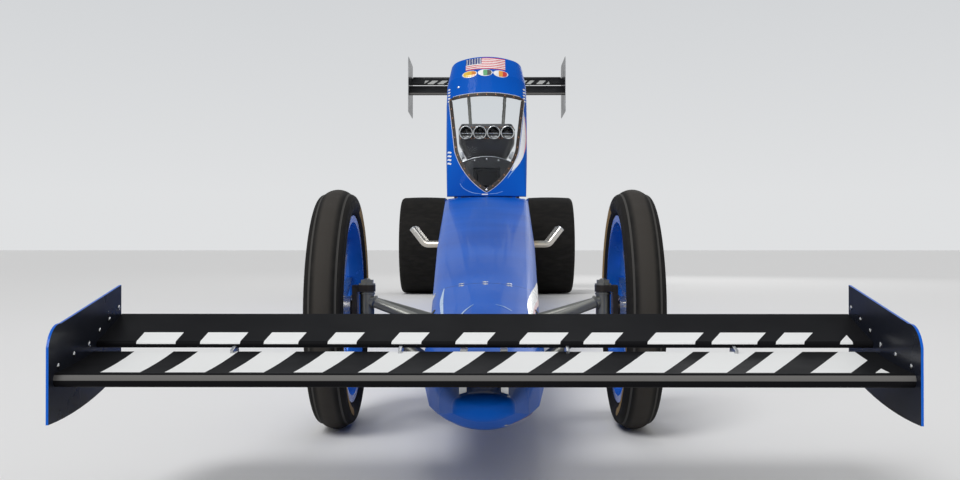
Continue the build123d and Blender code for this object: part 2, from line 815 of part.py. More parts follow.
def wall_arc(widest, end):
    # An arc that stands upright where the tyre is widest and leans in to its other end.
    lean, rise = widest[0] - end[0], end[1] - widest[1]
    radius = (lean ** 2 + rise ** 2) / (2 * lean)
    half_turn = math.asin(rise / radius) / 2
    middle = (widest[0] - radius * (1 - math.cos(half_turn)), widest[1] + radius * math.sin(half_turn))
    return [widest, middle, end]


def tyre_ring(half, rim_r, rim_width, radius, wall_r, shoulder, crown, place):
    # The right half's outline runs from the bead over the flange, round the bulged wall and shoulder,
    # to the middle of the crowned tread. place is x, station and z of the tyre's middle.
    bead = rim_r + seat_gap
    flange = rim_width / 2 - flange_width - seat_gap
    run, drop, lean = shoulder
    edge = (half - run, radius - crown)
    low = (half - lean, edge[1] - drop)
    bend = (low[0] - (low[0] - edge[0]) * 0.29, low[1] + drop * 0.71)
    widest = (half, wall_r)
    arcs = [
        wall_arc(widest, (flange, rim_r + flange_height + 1))[::-1],
        wall_arc(widest, low),
        [low, bend, edge],
    ]
    right = [Line((flange, bead), arcs[0][0]), *(ThreePointArc(*arc) for arc in arcs)]
    left = [ThreePointArc(*[(-x, r) for x, r in reversed(arc)]) for arc in reversed(arcs)]
    left.append(Line((-flange, arcs[0][0][1]), (-flange, bead)))
    tread = ThreePointArc(edge, (0, radius), (-edge[0], edge[1]))
    outline = make_face(Wire([*right, tread, *left, Line((-flange, bead), (flange, bead))]))
    return Pos(place[0], at(place[1]), place[2]) * revolve(outline, Axis.X, 360)


def make_front_tyre():
    size = (front_tyre_width / 2, front_rim_r, front_rim_width, front_tyre_r)
    wall_r = front_rim_r + flange_height + 27
    middle = (front_track / 2, 0, front_tyre_r)
    return tyre_ring(*size, wall_r, front_shoulder, front_crown, middle)


def make_front_wheel():
    half = front_rim_width / 2
    inner = front_rim_r - rim_wall
    edge = front_rim_r + flange_height
    bed = half - flange_width
    right = [(half, inner + 4), (half, edge), (bed, edge), (bed, front_rim_r)]
    rim_points = right + [(-x, r) for x, r in reversed(right)] + [(0, inner)]
    pieces = [turned(rim_points, front_track / 2, front_tyre_r, 0)]
    pieces.append(drum((hub_inner_x, hub_outer_x), 0, front_tyre_r, hub_r))
    middle = front_track / 2
    for number in range(spoke_count):
        angle = 360 / spoke_count * number
        long = inner + 4 - hub_r
        bar = Pos(0, 0, hub_r - 4 + long / 2) * Box(13, 17, long + 6)
        pieces.append(Pos(middle, at(0), front_tyre_r) * Rot(angle, 0, 0) * bar)
    wheel = fuse(pieces)
    return wheel - drum((hub_inner_x - 1, hub_outer_x + 1), 0, front_tyre_r, spindle_r + bearing_gap)


def make_rear_tyre():
    size = (rear_tyre_width / 2, rear_rim_r, rear_rim_width, rear_tyre_r)
    wall_r = rear_rim_r + flange_height + 87
    middle = (rear_track / 2, wheelbase, axle_z)
    return tyre_ring(*size, wall_r, rear_shoulder, rear_crown, middle)


def make_rear_wheel():
    half = rear_rim_width / 2
    inner = rear_rim_r - rim_wall
    edge = rear_rim_r + flange_height
    rim_points = [
        (half, inner), (half, edge), (half - flange_width, edge), (half - flange_width, rear_rim_r),
        (-half + flange_width, rear_rim_r), (-half + flange_width, edge), (-half, edge), (-half, inner),
    ]
    rim = turned(rim_points, rear_track / 2, axle_z, wheelbase)
    disc = drum((flange_x + 12 + seat_gap, flange_x + 26), wheelbase, axle_z, inner + 2)
    hub = drum((flange_x + 12 + seat_gap, flange_x + 60), wheelbase, axle_z, 62)
    wheel = fuse([rim, disc, hub])
    for number in range(rear_window_count):
        window = Pos(flange_x + 20, 0, rear_window_ring) * Rot(0, 90, 0) * Cylinder(rear_window_r, 60)
        wheel = wheel - Pos(0, at(wheelbase), axle_z) * Rot(360 / rear_window_count * number, 0, 0) * window
    return wheel - drum((flange_x, flange_x + 70), wheelbase, axle_z, shaft_r + seat_gap)


def make_shaft():
    pieces = [drum((-flange_x - 52, flange_x + 52), wheelbase, axle_z, shaft_r)]
    for side in (1, -1):
        pieces.append(drum(sorted((side * flange_x, side * (flange_x + 12))), wheelbase, axle_z, 80))
        pieces.append(drum(sorted((side * disc_x, side * (disc_x + disc_width))), wheelbase, axle_z, disc_r))
    return fuse(pieces)


def make_housing(frame):
    case = drum((-case_half, case_half), wheelbase, axle_z, case_r)
    snout = rod((0, snout_front, axle_z), (0, wheelbase, axle_z), snout_r)
    tubes = drum((-housing_end_x, housing_end_x), wheelbase, axle_z, housing_tube_r)
    rail_x = upper_rail[-1][1]
    bracket_span = (wheelbase - 90, wheelbase - 30)
    brackets = [block((s * rail_x - 14, s * rail_x + 14), bracket_span, (400, 520)) for s in (1, -1)]
    caliper_span, caliper_z = (wheelbase + 30, wheelbase + 130), (axle_z + 20, axle_z + 110)
    reach = (housing_end_x - 40, disc_x - 4)
    calipers = [block(sorted((s * reach[0], s * reach[1])), caliper_span, caliper_z) for s in (1, -1)]
    pad_span = (wheelbase - pad_half_length, wheelbase + pad_half_length)
    pad = block((-pad_half, pad_half), pad_span, (pad_z, axle_z - case_r + 30))
    housing = fuse([case, snout, tubes, pad] + brackets + calipers)
    room, end = housing_end_x - 30, housing_end_x + 1
    housing = housing - drum((-room, room), wheelbase, axle_z, shaft_r + 8)
    housing = housing - drum((-end, end), wheelbase, axle_z, shaft_r + bearing_gap)
    return housing.cut(*frame)


# Engine

def bank_block(low, high, half, front, rear):
    # A box along the right bank's cylinder line, from low to high above the crank.
    box = Pos(0, at((front + rear) / 2), (low + high) / 2) * Box(2 * half, rear - front, high - low)
    return Pos(0, 0, crank_z) * Rot(0, 45, 0) * box


def long_profile(right, front, rear):
    # A left-right symmetric outline of x and z, carried from front to rear.
    points = right + [(-x, z) for x, z in reversed(right)]
    outline = make_face(Wire([Line(p, q) for p, q in zip(points, points[1:] + points[:1])]))
    plane = Plane(origin=(0, at(front), 0), x_dir=(1, 0, 0), z_dir=(0, -1, 0))
    return extrude(plane * outline, amount=-(rear - front))


def make_engine_block():
    run = bank_half / math.sqrt(2)
    deck = deck_height / math.sqrt(2)
    outer = (deck + run, crank_z + deck - run)
    inner = (deck - run, crank_z + deck + run)
    right = [(128, pan_top_z), (172, 300), (176, crank_z), outer, inner, (60, crank_z + 170)]
    block_body = long_profile(right, engine_front, engine_rear)
    pan = [(pan_half - 30, pan_low_z), (pan_half, pan_low_z + 40), (pan_half, pan_top_z + 1)]
    return block_body.fuse(long_profile(pan, engine_front + 20, engine_rear - 20))


def make_heads():
    low, high = deck_height + seat_gap, deck_height + head_height
    return both_sides(bank_block(low, high, bank_half, engine_front + 5, engine_rear - 5))


def make_covers():
    low = deck_height + head_height + seat_gap
    cover = bank_block(low, low + cover_height, bank_half - 8, engine_front + 8, engine_rear - 8)
    long_edges = cover.edges().filter_by(Axis.Y).sort_by(Axis.Z)[-3:]
    high = sorted(long_edges, key=lambda e: e.center().X + e.center().Z)[-2:]
    return both_sides(fillet(high, 26))


def make_blower():
    valley_z = crank_z + 170 + seat_gap
    right = [(58, valley_z), (100, valley_z + 52), (100, blower_low_z + 1)]
    manifold = long_profile(right, engine_front + 20, engine_rear - 20)
    case = block((-blower_half, blower_half), (blower_front, blower_rear), (blower_low_z, blower_high_z))
    case = fillet(case.edges().filter_by(Axis.Y), 40)
    lid = block((-110, 110), (blower_front + 30, blower_rear - 90), (blower_high_z - 5, blower_high_z + 20))
    ribs = [
        block((-blower_half - 7, blower_half + 7), (s, s + 9), (blower_low_z + 35, blower_high_z - 45))
        for s in [blower_front + 40 + 46 * n for n in range(11)]
    ]
    snout = rod((0, blower_front - 50, top_pulley_z), (0, blower_front + 2, top_pulley_z), 48)
    return fuse([manifold, case, lid, snout] + ribs)


def rounded_level(z, half, front, rear, radius):
    shape = Pos(0, at((front + rear) / 2)) * RectangleRounded(2 * half, rear - front, radius)
    return Plane.XY.offset(z) * shape


def make_hat():
    # height, half width, front and rear stations, corner radius
    levels = (
        (blower_high_z + 20 + seat_gap, 112.0, hat_front + 48, hat_front + 350, 30.0),
        (throat_z - 86, 232.0, hat_front + 14, hat_front + 330, 60.0),
        (throat_z + 34, 236.0, hat_front, hat_front + 290, 60.0),
        (throat_z + 76, 212.0, hat_front + 22, hat_front + 230, 40.0),
    )
    faces = [rounded_level(*level) for level in levels]
    body = loft(faces, ruled=True)
    xs = [throat_pitch * (n - 1.5) for n in range(4)]
    for x in xs:
        body = body.fuse(rod((x, hat_front - 14, throat_z), (x, hat_front + 60, throat_z), throat_r + 6))
    for x in xs:
        body = body - rod((x, hat_front - 15, throat_z), (x, hat_front + throat_depth, throat_z), throat_r)
    disc = Rot(62, 0, 0) * Cylinder(throat_r - 1.5, 4)
    discs = [Pos(x, at(hat_front + butterfly_depth), throat_z) * disc for x in xs]
    shaft = drum((-2 * throat_pitch, 2 * throat_pitch), hat_front + butterfly_depth, throat_z, 5)
    return fuse([body, shaft] + discs)


def racetrack(low_r, high_r, front, rear):
    # The outline round the crank pulley and the blower pulley, between two stations.
    span = top_pulley_z - crank_z
    lean = math.asin((high_r - low_r) / span)
    cos, sin = math.cos(lean), math.sin(lean)
    low = (low_r * cos, crank_z - low_r * sin)
    high = (high_r * cos, top_pulley_z - high_r * sin)
    edges = [
        Line(low, high),
        ThreePointArc(high, (0, top_pulley_z + high_r), (-high[0], high[1])),
        Line((-high[0], high[1]), (-low[0], low[1])),
        ThreePointArc((-low[0], low[1]), (0, crank_z - low_r), low),
    ]
    plane = Plane(origin=(0, at(front), 0), x_dir=(1, 0, 0), z_dir=(0, -1, 0))
    return extrude(plane * make_face(Wire(edges)), amount=-(rear - front))


def make_blower_drive():
    front, rear = belt_front, belt_front + belt_width
    outer = racetrack(crank_pulley_r + belt_thickness, top_pulley_r + belt_thickness, front, rear)
    inner = racetrack(crank_pulley_r, top_pulley_r, front - 1, rear + 1)
    pieces = [outer - inner]
    crank = (crank_z, crank_pulley_r, engine_front)
    top = (top_pulley_z, top_pulley_r, blower_front - 50)
    for z, radius, back in (crank, top):
        pieces.append(rod((0, front + 2, z), (0, rear - 2, z), radius + 0.5))
        pieces.append(rod((0, front - 4, z), (0, front + 1, z), radius + 14))
        pieces.append(rod((0, rear - 1, z), (0, rear + 4, z), radius + 14))
        pieces.append(rod((0, rear + 3, z), (0, back - seat_gap, z), 30))
    return fuse(pieces)


def make_headers():
    run = (deck_height + head_height / 2) / math.sqrt(2)
    out = bank_half / math.sqrt(2)
    start = (run + out + 0.3, crank_z + run - out - 0.3)
    pipes = []
    for number in range(4):
        station = engine_front + 82 + 132 * number
        points = [
            (start[0], at(station), start[1]),
            (start[0] + 82, at(station), start[1] - 82),
            (start[0] + 250, at(station + 22), start[1] - 82),
            (start[0] + 356, at(station + 66), start[1] + 52),
        ]
        path = FilletPolyline(*points, radius=58)
        lead = Plane(origin=points[0], z_dir=path % 0)
        pipe = sweep(lead * Circle(pipe_r), path=path)
        tip = Plane(origin=path @ 1, z_dir=path % 1)
        pipe = pipe - extrude(tip * Circle(pipe_r - pipe_wall), amount=-70, both=False)
        pipes.append(pipe)
    return Compound(children=pipes)


def make_motor_plates():
    plates = []
    for front in (engine_front - plate_gauge - seat_gap, engine_rear + seat_gap):
        half = mix(upper_rail, front)[0] - rail_r - seat_gap
        sheet = block((-half, half), (front, front + plate_gauge), (300, 470))
        window = rod((0, front - 1, crank_z), (0, front + plate_gauge + 1, crank_z), 60)
        plates.append(sheet - window)
    return Compound(children=plates)


def make_clutch_can():
    start = engine_rear + plate_gauge + 2 * seat_gap
    rings = ((start, can_r), (start + 190, can_r - 22), (start + 230, 90.0))
    faces = []
    for station, radius in rings:
        plane = Plane(origin=(0, at(station), crank_z), x_dir=(1, 0, 0), z_dir=(0, -1, 0))
        faces.append(plane * Circle(radius))
    can = loft(faces, ruled=True)
    cover = rod((0, start + 225, crank_z), (0, snout_front - seat_gap, crank_z), cover_r)
    return fuse([can, cover])


# Rear wing, parachutes and wheelie bar

def make_rear_wing():
    inside = rear_span - 2 * plate_thickness
    plane = span_piece(wing_section(*rear_plane), inside)
    flap = span_piece(wing_section(*rear_flap), inside)
    front, rear, low, high = rear_plate_box
    outline = RectangleRounded(rear - front, high - low, rear_plate_corner)
    outline = Pos(at((front + rear) / 2), (low + high) / 2) * outline
    plates = both_sides(side_plate(outline, rear_span / 2 - plate_thickness / 2, plate_thickness))
    return plane, flap, plates


def make_struts(frame, plane):
    def across(share):
        return strut_foot_x + (strut_head_x - strut_foot_x) * share

    tubes = []
    for side in (1, -1):
        for foot, head in zip(strut_feet, strut_heads):
            tubes.append(rod((side * strut_foot_x, *foot), (side * strut_head_x, *head), strut_r))
        (front_foot, front_z), (rear_foot, rear_z) = strut_feet
        share = strut_ties[0]
        rear_head, top_z = strut_heads[1]
        joint_station = rear_foot + (rear_head - rear_foot) * share
        joint = (side * across(share), joint_station, rear_z + (top_z - rear_z) * share)
        tubes.append(rod(joint, (side * strut_foot_x, front_foot, front_z + 12), strut_r * 0.8))
    for share in strut_ties:
        station = strut_feet[0][0]
        z = strut_feet[0][1] + (strut_heads[0][1] - strut_feet[0][1]) * share
        tubes.append(rod((-across(share), station, z), (across(share), station, z), strut_r * 0.8))
    return largest(fuse(tubes).cut(*frame, plane))


def make_packs():
    low_z = tray_z + plate_gauge + seat_gap
    pack = block(pack_x, pack_span, (low_z, low_z + pack_height))
    return both_sides(fillet(pack.edges(), pack_round))


def make_wheelie_bar(housing):
    # Two long tubes on each side, tied by a post and a cross tube, and the sleeve for the wheels' pin.
    tubes = []
    rear = wheelie_station
    lower = ((90, wheelbase + 60, 360), (120, rear, wheelie_z))
    upper = ((90, wheelbase + 60, 540), (120, rear - 40, wheelie_z + 14))
    share = (wheelie_link - lower[0][1]) / (lower[1][1] - lower[0][1])
    x, _, low_z = [p + (q - p) * share for p, q in zip(*lower)]
    high_z = low_z + 91
    for side in (1, -1):
        for start, end in (lower, upper):
            tubes.append(rod((side * start[0], start[1], start[2]), (side * end[0], end[1], end[2]), strut_r))
        tubes.append(rod((side * x, wheelie_link, low_z), (side * x, wheelie_link, high_z), 8))
    tubes.append(drum((-150, 150), rear, wheelie_z, 16))
    tubes.append(rod((-x, wheelie_link, low_z), (x, wheelie_link, low_z), 10))
    bar = fuse(tubes) - drum((-160, 160), rear, wheelie_z, wheelie_pin_r + bearing_gap)
    return bar - housing


def make_wheelie_wheels():
    pieces = [drum((-wheelie_x - 8, wheelie_x + 8), wheelie_station, wheelie_z, wheelie_pin_r)]
    for side in (1, -1):
        x = sorted((side * (wheelie_x - wheelie_width / 2), side * (wheelie_x + wheelie_width / 2)))
        wheel = drum(x, wheelie_station, wheelie_z, wheelie_r)
        pieces.append(fillet(wheel.edges(), wheelie_round))
    return fuse(pieces)


def make_all():
    parts = {}
    frame = make_frame()
    parts["frame_rails"] = Compound(children=frame)
    parts["roll_cage"] = make_cage(frame)
    parts["nose_cone"] = make_nose()
    upper, lower, sides = make_panels()
    parts["upper_body"] = upper
    parts["lower_body"] = lower
    parts["cockpit_body"] = sides
    parts["canopy_shell"], parts["windshield"] = make_canopy()
    parts["seat"] = make_seat()
    parts["head_surround"] = make_head_surround() - parts["roll_cage"]
    parts["steering_wheel"] = largest(make_steering_wheel() - sides)
    plane, flap, plates, posts = make_front_wing()
    parts["front_wing_plane"] = plane
    parts["front_wing_flap"] = flap
    parts["front_wing_endplates"] = plates
    solid_nose = body_form(nose_front, nose_end, 0.0)
    parts["front_wing_posts"] = Compound(children=[post - solid_nose - plane - flap for post in posts])
    parts["front_arms"] = make_front_arms(frame)
    knuckle = make_knuckle()
    parts["knuckle_left"] = knuckle
    parts["knuckle_right"] = mirror(knuckle, about=Plane.YZ)
    parts["tie_rod"] = make_tie_rod()
    tyre, wheel = make_front_tyre(), make_front_wheel()
    parts["front_tyre_left"], parts["front_wheel_left"] = tyre, wheel
    parts["front_tyre_right"] = mirror(tyre, about=Plane.YZ)
    parts["front_wheel_right"] = mirror(wheel, about=Plane.YZ)
    tyre = make_rear_tyre()
    parts["rear_tyre_left"], parts["rear_tyre_right"] = tyre, mirror(tyre, about=Plane.YZ)
    parts["rear_wheels"] = both_sides(make_rear_wheel())
    parts["rear_axle_shaft"] = make_shaft()
    housing = make_housing(frame)
    parts["rear_axle_housing"] = housing
    parts["engine_block"] = make_engine_block()
    parts["cylinder_heads"] = make_heads()
    parts["valve_covers"] = make_covers()
    parts["supercharger"] = make_blower()
    parts["injector_hat"] = make_hat()
    parts["blower_drive"] = make_blower_drive()
    left = make_headers()
    parts["exhaust_headers_left"] = left
    parts["exhaust_headers_right"] = mirror(left, about=Plane.YZ)
    parts["motor_plates"] = make_motor_plates()
    parts["clutch_can"] = make_clutch_can()
    plane, flap, plates = make_rear_wing()
    parts["rear_wing_plane"] = plane
    parts["rear_wing_flap"] = flap
    parts["rear_wing_endplates"] = plates
    parts["rear_wing_struts"] = make_struts(frame, plane)
    parts["parachute_packs"] = make_packs()
    parts["wheelie_bar"] = make_wheelie_bar(housing)
    parts["wheelie_wheels"] = make_wheelie_wheels()
    return parts


os.makedirs("parts", exist_ok=True)
for name, piece in make_all().items():
    export_step(piece, f"parts/{name}.step")
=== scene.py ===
import json
from math import atan2, cos, pi, radians, sin, sqrt, tau

import bmesh
import bpy
from mathutils import Matrix, Vector
from mathutils.bvhtree import BVHTree


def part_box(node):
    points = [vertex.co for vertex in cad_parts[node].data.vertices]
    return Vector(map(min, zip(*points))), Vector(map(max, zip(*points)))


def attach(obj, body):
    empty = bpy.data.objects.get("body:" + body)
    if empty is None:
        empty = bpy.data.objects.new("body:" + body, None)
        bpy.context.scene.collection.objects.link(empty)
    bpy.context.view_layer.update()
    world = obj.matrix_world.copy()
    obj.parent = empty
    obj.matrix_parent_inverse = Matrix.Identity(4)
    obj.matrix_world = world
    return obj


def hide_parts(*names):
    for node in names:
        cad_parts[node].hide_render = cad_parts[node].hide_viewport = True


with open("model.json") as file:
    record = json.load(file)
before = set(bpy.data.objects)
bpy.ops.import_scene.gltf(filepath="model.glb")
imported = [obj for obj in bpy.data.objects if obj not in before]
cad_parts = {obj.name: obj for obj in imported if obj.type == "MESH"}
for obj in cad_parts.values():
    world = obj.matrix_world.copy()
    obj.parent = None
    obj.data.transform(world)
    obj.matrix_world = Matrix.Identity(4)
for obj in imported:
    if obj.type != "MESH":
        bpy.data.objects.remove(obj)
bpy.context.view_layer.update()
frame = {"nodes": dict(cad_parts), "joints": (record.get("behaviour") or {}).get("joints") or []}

nodes = frame["nodes"]


# Places read from the frame

def middleOf(name):
    low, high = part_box(name)
    return (low + high) / 2


def spot(x, station, z):
    # station is the distance behind the front axle
    return Vector((x, frontAxle.y + station, z))


frontAxle = middleOf("front_tyre_left")
rearAxle = middleOf("rear_tyre_left")
hinge = next(joint for joint in frame["joints"] if joint["name"] == "canopy_hinge")
hingeY, hingeZ = hinge["pos_m"][1], hinge["pos_m"][2]
canopyTilt = radians(-hinge["range_deg"][0])   # how far it stands open
across, backward, upward = Vector((1, 0, 0)), Vector((0, 1, 0)), Vector((0, 0, 1))
forward, downward = -backward, -upward


# Camera, floor and light

def addObject(name, data):
    made = bpy.data.objects.new(name, data)
    bpy.context.scene.collection.objects.link(made)
    return made


viewpoint = {
    "place": (0.006, -6.4275, 0.4315),
    "tilt": 90.43,
    "turn": 0.40,
    "lens": 40.12,
}

camera = addObject("camera", bpy.data.cameras.new("camera"))
camera.data.lens = viewpoint["lens"]
camera.data.sensor_width = 36
camera.data.clip_end = 200
camera.location = viewpoint["place"]
camera.rotation_euler = (radians(viewpoint["tilt"]), 0, radians(viewpoint["turn"]))
bpy.context.scene.camera = camera
bpy.context.scene.view_settings.view_transform = "Standard"

studio = {
    "floorSize": 400.0,
    "floorDrop": 0.0005,
    "floorColour": (0.74, 0.74, 0.74),
    "backdropLow": (0.74, 0.75, 0.76),
    "backdropHigh": (0.30, 0.33, 0.37),
    "fill": 0.5,
    "sunTurn": (38, -24, 0),
    "sunSoftness": 24.0,
    "sunPower": 1.45,
}


# Small helpers for node trees

class Value:
    # a number in a node tree: a sum or comparison with it adds the node that works it out

    def __init__(self, tree, socket):
        self.tree, self.socket = tree, socket

    def calc(self, operation, *others):
        pair = dict(enumerate((self, *others)))
        return Value(self.tree, addNode(self.tree, "ShaderNodeMath", pair, operation=operation).outputs[0])

    def __add__(self, other):
        return self.calc("ADD", other)

    def __sub__(self, other):
        return self.calc("SUBTRACT", other)

    def __rsub__(self, other):
        return self * -1.0 + other

    def __mul__(self, other):
        return self.calc("MULTIPLY", other)

    def __truediv__(self, other):
        return self.calc("DIVIDE", other)

    def __gt__(self, other):
        return self.calc("GREATER_THAN", other)

    def __lt__(self, other):
        return self.calc("LESS_THAN", other)

    def __abs__(self):
        return self.calc("ABSOLUTE")


def setInput(node, key, value):
    socket = node.inputs[key]
    if isinstance(value, Value):
        value.tree.links.new(value.socket, socket)
    else:
        socket.default_value = (*value, 1) if socket.type == "RGBA" else value


def addNode(tree, kind, inputs=None, **settings):
    node = tree.nodes.new(kind)
    for key, value in settings.items():
        setattr(node, key, value)
    for key, value in (inputs or {}).items():
        setInput(node, key, value)
    return node


def output(tree, kind, inputs=None, which=0, **settings):
    return Value(tree, addNode(tree, kind, inputs, **settings).outputs[which])


def noise(place, scale, detail=3.0, roughness=0.55):
    return output(place.tree, "ShaderNodeTexNoise",
                  {"Vector": place, "Scale": scale, "Detail": detail, "Roughness": roughness})


def moved(place, **change):
    return output(place.tree, "ShaderNodeMapping", {"Vector": place, **change})


def spread(value, low, high, newLow=0.0, newHigh=1.0, smooth=False):
    return output(value.tree, "ShaderNodeMapRange",
                  {"Value": value, "From Min": low, "From Max": high, "To Min": newLow, "To Max": newHigh},
                  interpolation_type="SMOOTHSTEP" if smooth else "LINEAR")


def blend(share, first, second):
    # inputs 0, 6 and 7 of a colour mix are its share and its two colours
    return output(share.tree, "ShaderNodeMix", {0: share, 6: first, 7: second}, 2, data_type="RGBA")


def axes(place):
    split = addNode(place.tree, "ShaderNodeSeparateXYZ", {0: place})
    return [Value(place.tree, socket) for socket in split.outputs]


def polar(place):
    # across, distance from the X axis and turn about it
    x, y, z = axes(place)
    return x, (y * y + z * z).calc("SQRT"), z.calc("ARCTAN2", y)


finishes = {}
socketNames = {
    "base": "Base Color", "rough": "Roughness", "metallic": "Metallic", "specular": "Specular IOR Level",
    "ior": "IOR", "coat": "Coat Weight", "coatRough": "Coat Roughness", "transmission": "Transmission Weight",
}


def startFinish(name, kind="Object"):
    material = bpy.data.materials.new(name)
    material.use_nodes = True
    finishes[name] = material
    return output(material.node_tree, "ShaderNodeTexCoord", which=kind)


def endFinish(place, bump=None, **look):
    shader = place.tree.nodes["Principled BSDF"]
    for key, value in look.items():
        setInput(shader, socketNames[key], value)
    if bump:
        height, strength, distance = bump
        setInput(shader, "Normal", output(place.tree, "ShaderNodeBump", {
            "Height": height, "Strength": strength, "Distance": distance}))


# World and floor

world = bpy.data.worlds.new("studio")
bpy.context.scene.world = world
world.use_nodes = True
sky = world.node_tree
sky.nodes.clear()
height = axes(output(sky, "ShaderNodeTexCoord", which="Generated"))[2]
backdrop = blend(spread(height, 0.05, 0.9), studio["backdropLow"], studio["backdropHigh"])
shown = output(sky, "ShaderNodeBackground", {"Color": backdrop, "Strength": 1.0})
lighting = output(sky, "ShaderNodeBackground", {"Color": (1, 1, 1), "Strength": studio["fill"]})
rays = addNode(sky, "ShaderNodeLightPath")
isCamera, isGlossy, isClear = (Value(sky, rays.outputs[f"Is {kind} Ray"])
                               for kind in ("Camera", "Glossy", "Transmission"))
seen = isCamera.calc("MAXIMUM", isGlossy).calc("MAXIMUM", isClear)
skyMix = output(sky, "ShaderNodeMixShader", {0: seen, 1: lighting, 2: shown})
addNode(sky, "ShaderNodeOutputWorld", {0: skyMix})

endFinish(startFinish("floorGrey"), base=studio["floorColour"], rough=0.9, specular=0.1)
floorBm = bmesh.new()
bmesh.ops.create_grid(floorBm, x_segments=1, y_segments=1, size=studio["floorSize"] / 2)
floorMesh = bpy.data.meshes.new("floor")
floorBm.to_mesh(floorMesh)
floorBm.free()
floorMesh.materials.append(finishes["floorGrey"])
floor = addObject("floor", floorMesh)
floor.location = (0, 0, -studio["floorDrop"])

sun = addObject("sun", bpy.data.lights.new("sun", "SUN"))
sun.data.energy = studio["sunPower"]
sun.data.angle = radians(studio["sunSoftness"])
sun.rotation_euler = [radians(v) for v in studio["sunTurn"]]

lamps = {
    "overhead": {"place": (0, -2.0, 5.0), "aim": (0, -2.0, 0), "size": (1.6, 7.0), "power": 40},
    "front": {"place": (-3.2, -9.5, 3.4), "aim": (0, -2.0, 0.6), "size": (2.4, 2.4), "power": 60},
    "rear": {"place": (3.0, 9.0, 4.0), "aim": (0, 2.5, 0.8), "size": (3.0, 3.0), "power": 60},
}

for name, lamp in lamps.items():
    light = bpy.data.lights.new(name, "AREA")
    light.shape = "RECTANGLE"
    light.size, light.size_y = lamp["size"]
    light.energy = lamp["power"]
    holder = addObject(name, light)
    holder.location = lamp["place"]
    aim = Vector(lamp["aim"]) - Vector(lamp["place"])
    holder.rotation_euler = aim.to_track_quat("-Z", "Y").to_euler()

print("camera, floor and light placed")


# Finishes made of two tones, a patchy roughness and a fine grain

# two tones, patches a metre, roughness, metal, grains a metre and their depth, and what else the finish has
plainFinishes = {
    "bareSteel": ((0.235, 0.235, 0.215), (0.15, 0.15, 0.14), 9.0, (0.30, 0.46), 0.85, 260.0, 0.08),
    "darkSteel": ((0.060, 0.050, 0.042), (0.028, 0.024, 0.022), 24.0, (0.32, 0.5), 0.8, 320.0, 0.12),
    "machinedAluminium": ((0.60, 0.61, 0.62), (0.43, 0.44, 0.45), 14.0, (0.24, 0.4), 1.0, 420.0, 0.05),
    "brightAluminium": ((0.80, 0.80, 0.79), (0.66, 0.66, 0.65), 30.0, (0.12, 0.24), 1.0, 500.0, 0.02),
    "castMagnesium": ((0.33, 0.325, 0.31), (0.21, 0.205, 0.195), 11.0, (0.38, 0.55), 0.9, 620.0, 0.22),
    "canTitanium": ((0.36, 0.335, 0.30), (0.24, 0.225, 0.215), 7.0, (0.26, 0.44), 1.0, 300.0, 0.06),
    "coverAlloy": ((0.055, 0.056, 0.06), (0.028, 0.028, 0.03), 40.0, (0.38, 0.5), 0.3, 900.0, 0.3),
    "beltRubber": ((0.022, 0.022, 0.023), (0.036, 0.035, 0.034), 30.0, (0.55, 0.75), 0.0, 700.0, 0.15),
    "hardRubber": ((0.030, 0.029, 0.028), (0.05, 0.048, 0.045), 26.0, (0.6, 0.8), 0.0, 500.0, 0.2),
    "blackComposite": ((0.012, 0.012, 0.014), (0.022, 0.022, 0.024), 16.0, (0.28, 0.42), 0.0, 600.0, 0.05,
                       {"coat": 0.4, "coatRough": 0.12}),
    "sealBrown": ((0.020, 0.013, 0.010), (0.034, 0.022, 0.016), 20.0, (0.35, 0.5), 0.0, 500.0, 0.08),
    "copperBolt": ((0.42, 0.21, 0.11), (0.28, 0.14, 0.08), 60.0, (0.22, 0.36), 1.0, 500.0, 0.05),
}
filmTones = {
    "whiteFilm": ((0.80, 0.81, 0.82), (0.72, 0.74, 0.76)),
    "roseFilm": ((0.72, 0.20, 0.24), (0.64, 0.15, 0.19)),
    "skyFilm": ((0.28, 0.52, 0.86), (0.23, 0.46, 0.80)),
}
for name, tones in filmTones.items():
    plainFinishes[name] = (*tones, 12.0, (0.24, 0.34), 0.0, 500.0, 0.01, {"coat": 0.6})


def plainFinish(name, first, second, patches, rough, metallic, grain, depth, more=None):
    place = startFinish(name)
    endFinish(place, base=blend(spread(noise(place, patches), 0.3, 0.7), first, second),
              rough=spread(noise(place, patches * 2.3), 0.25, 0.75, *rough), metallic=metallic,
              bump=(noise(place, grain, 2.0), depth, 0.0006), **(more or {}))


for name, look in plainFinishes.items():
    plainFinish(name, *look)


# Blue paint with a fine flake, under a thin clear coat

bodyPaint = {
    "blue": (0.002, 0.105, 0.53),
    "deepBlue": (0.001, 0.075, 0.42),
    "white": (0.80, 0.82, 0.85),
    "rose": (0.70, 0.19, 0.24),
    "flake": 1400.0,
    "stripeZ": (0.205, 0.545),           # at the nose and at the cockpit
    "stripeHalf": (0.003, 0.046),
    "stripeSway": 0.035,
    "roseWidth": 0.007,
}


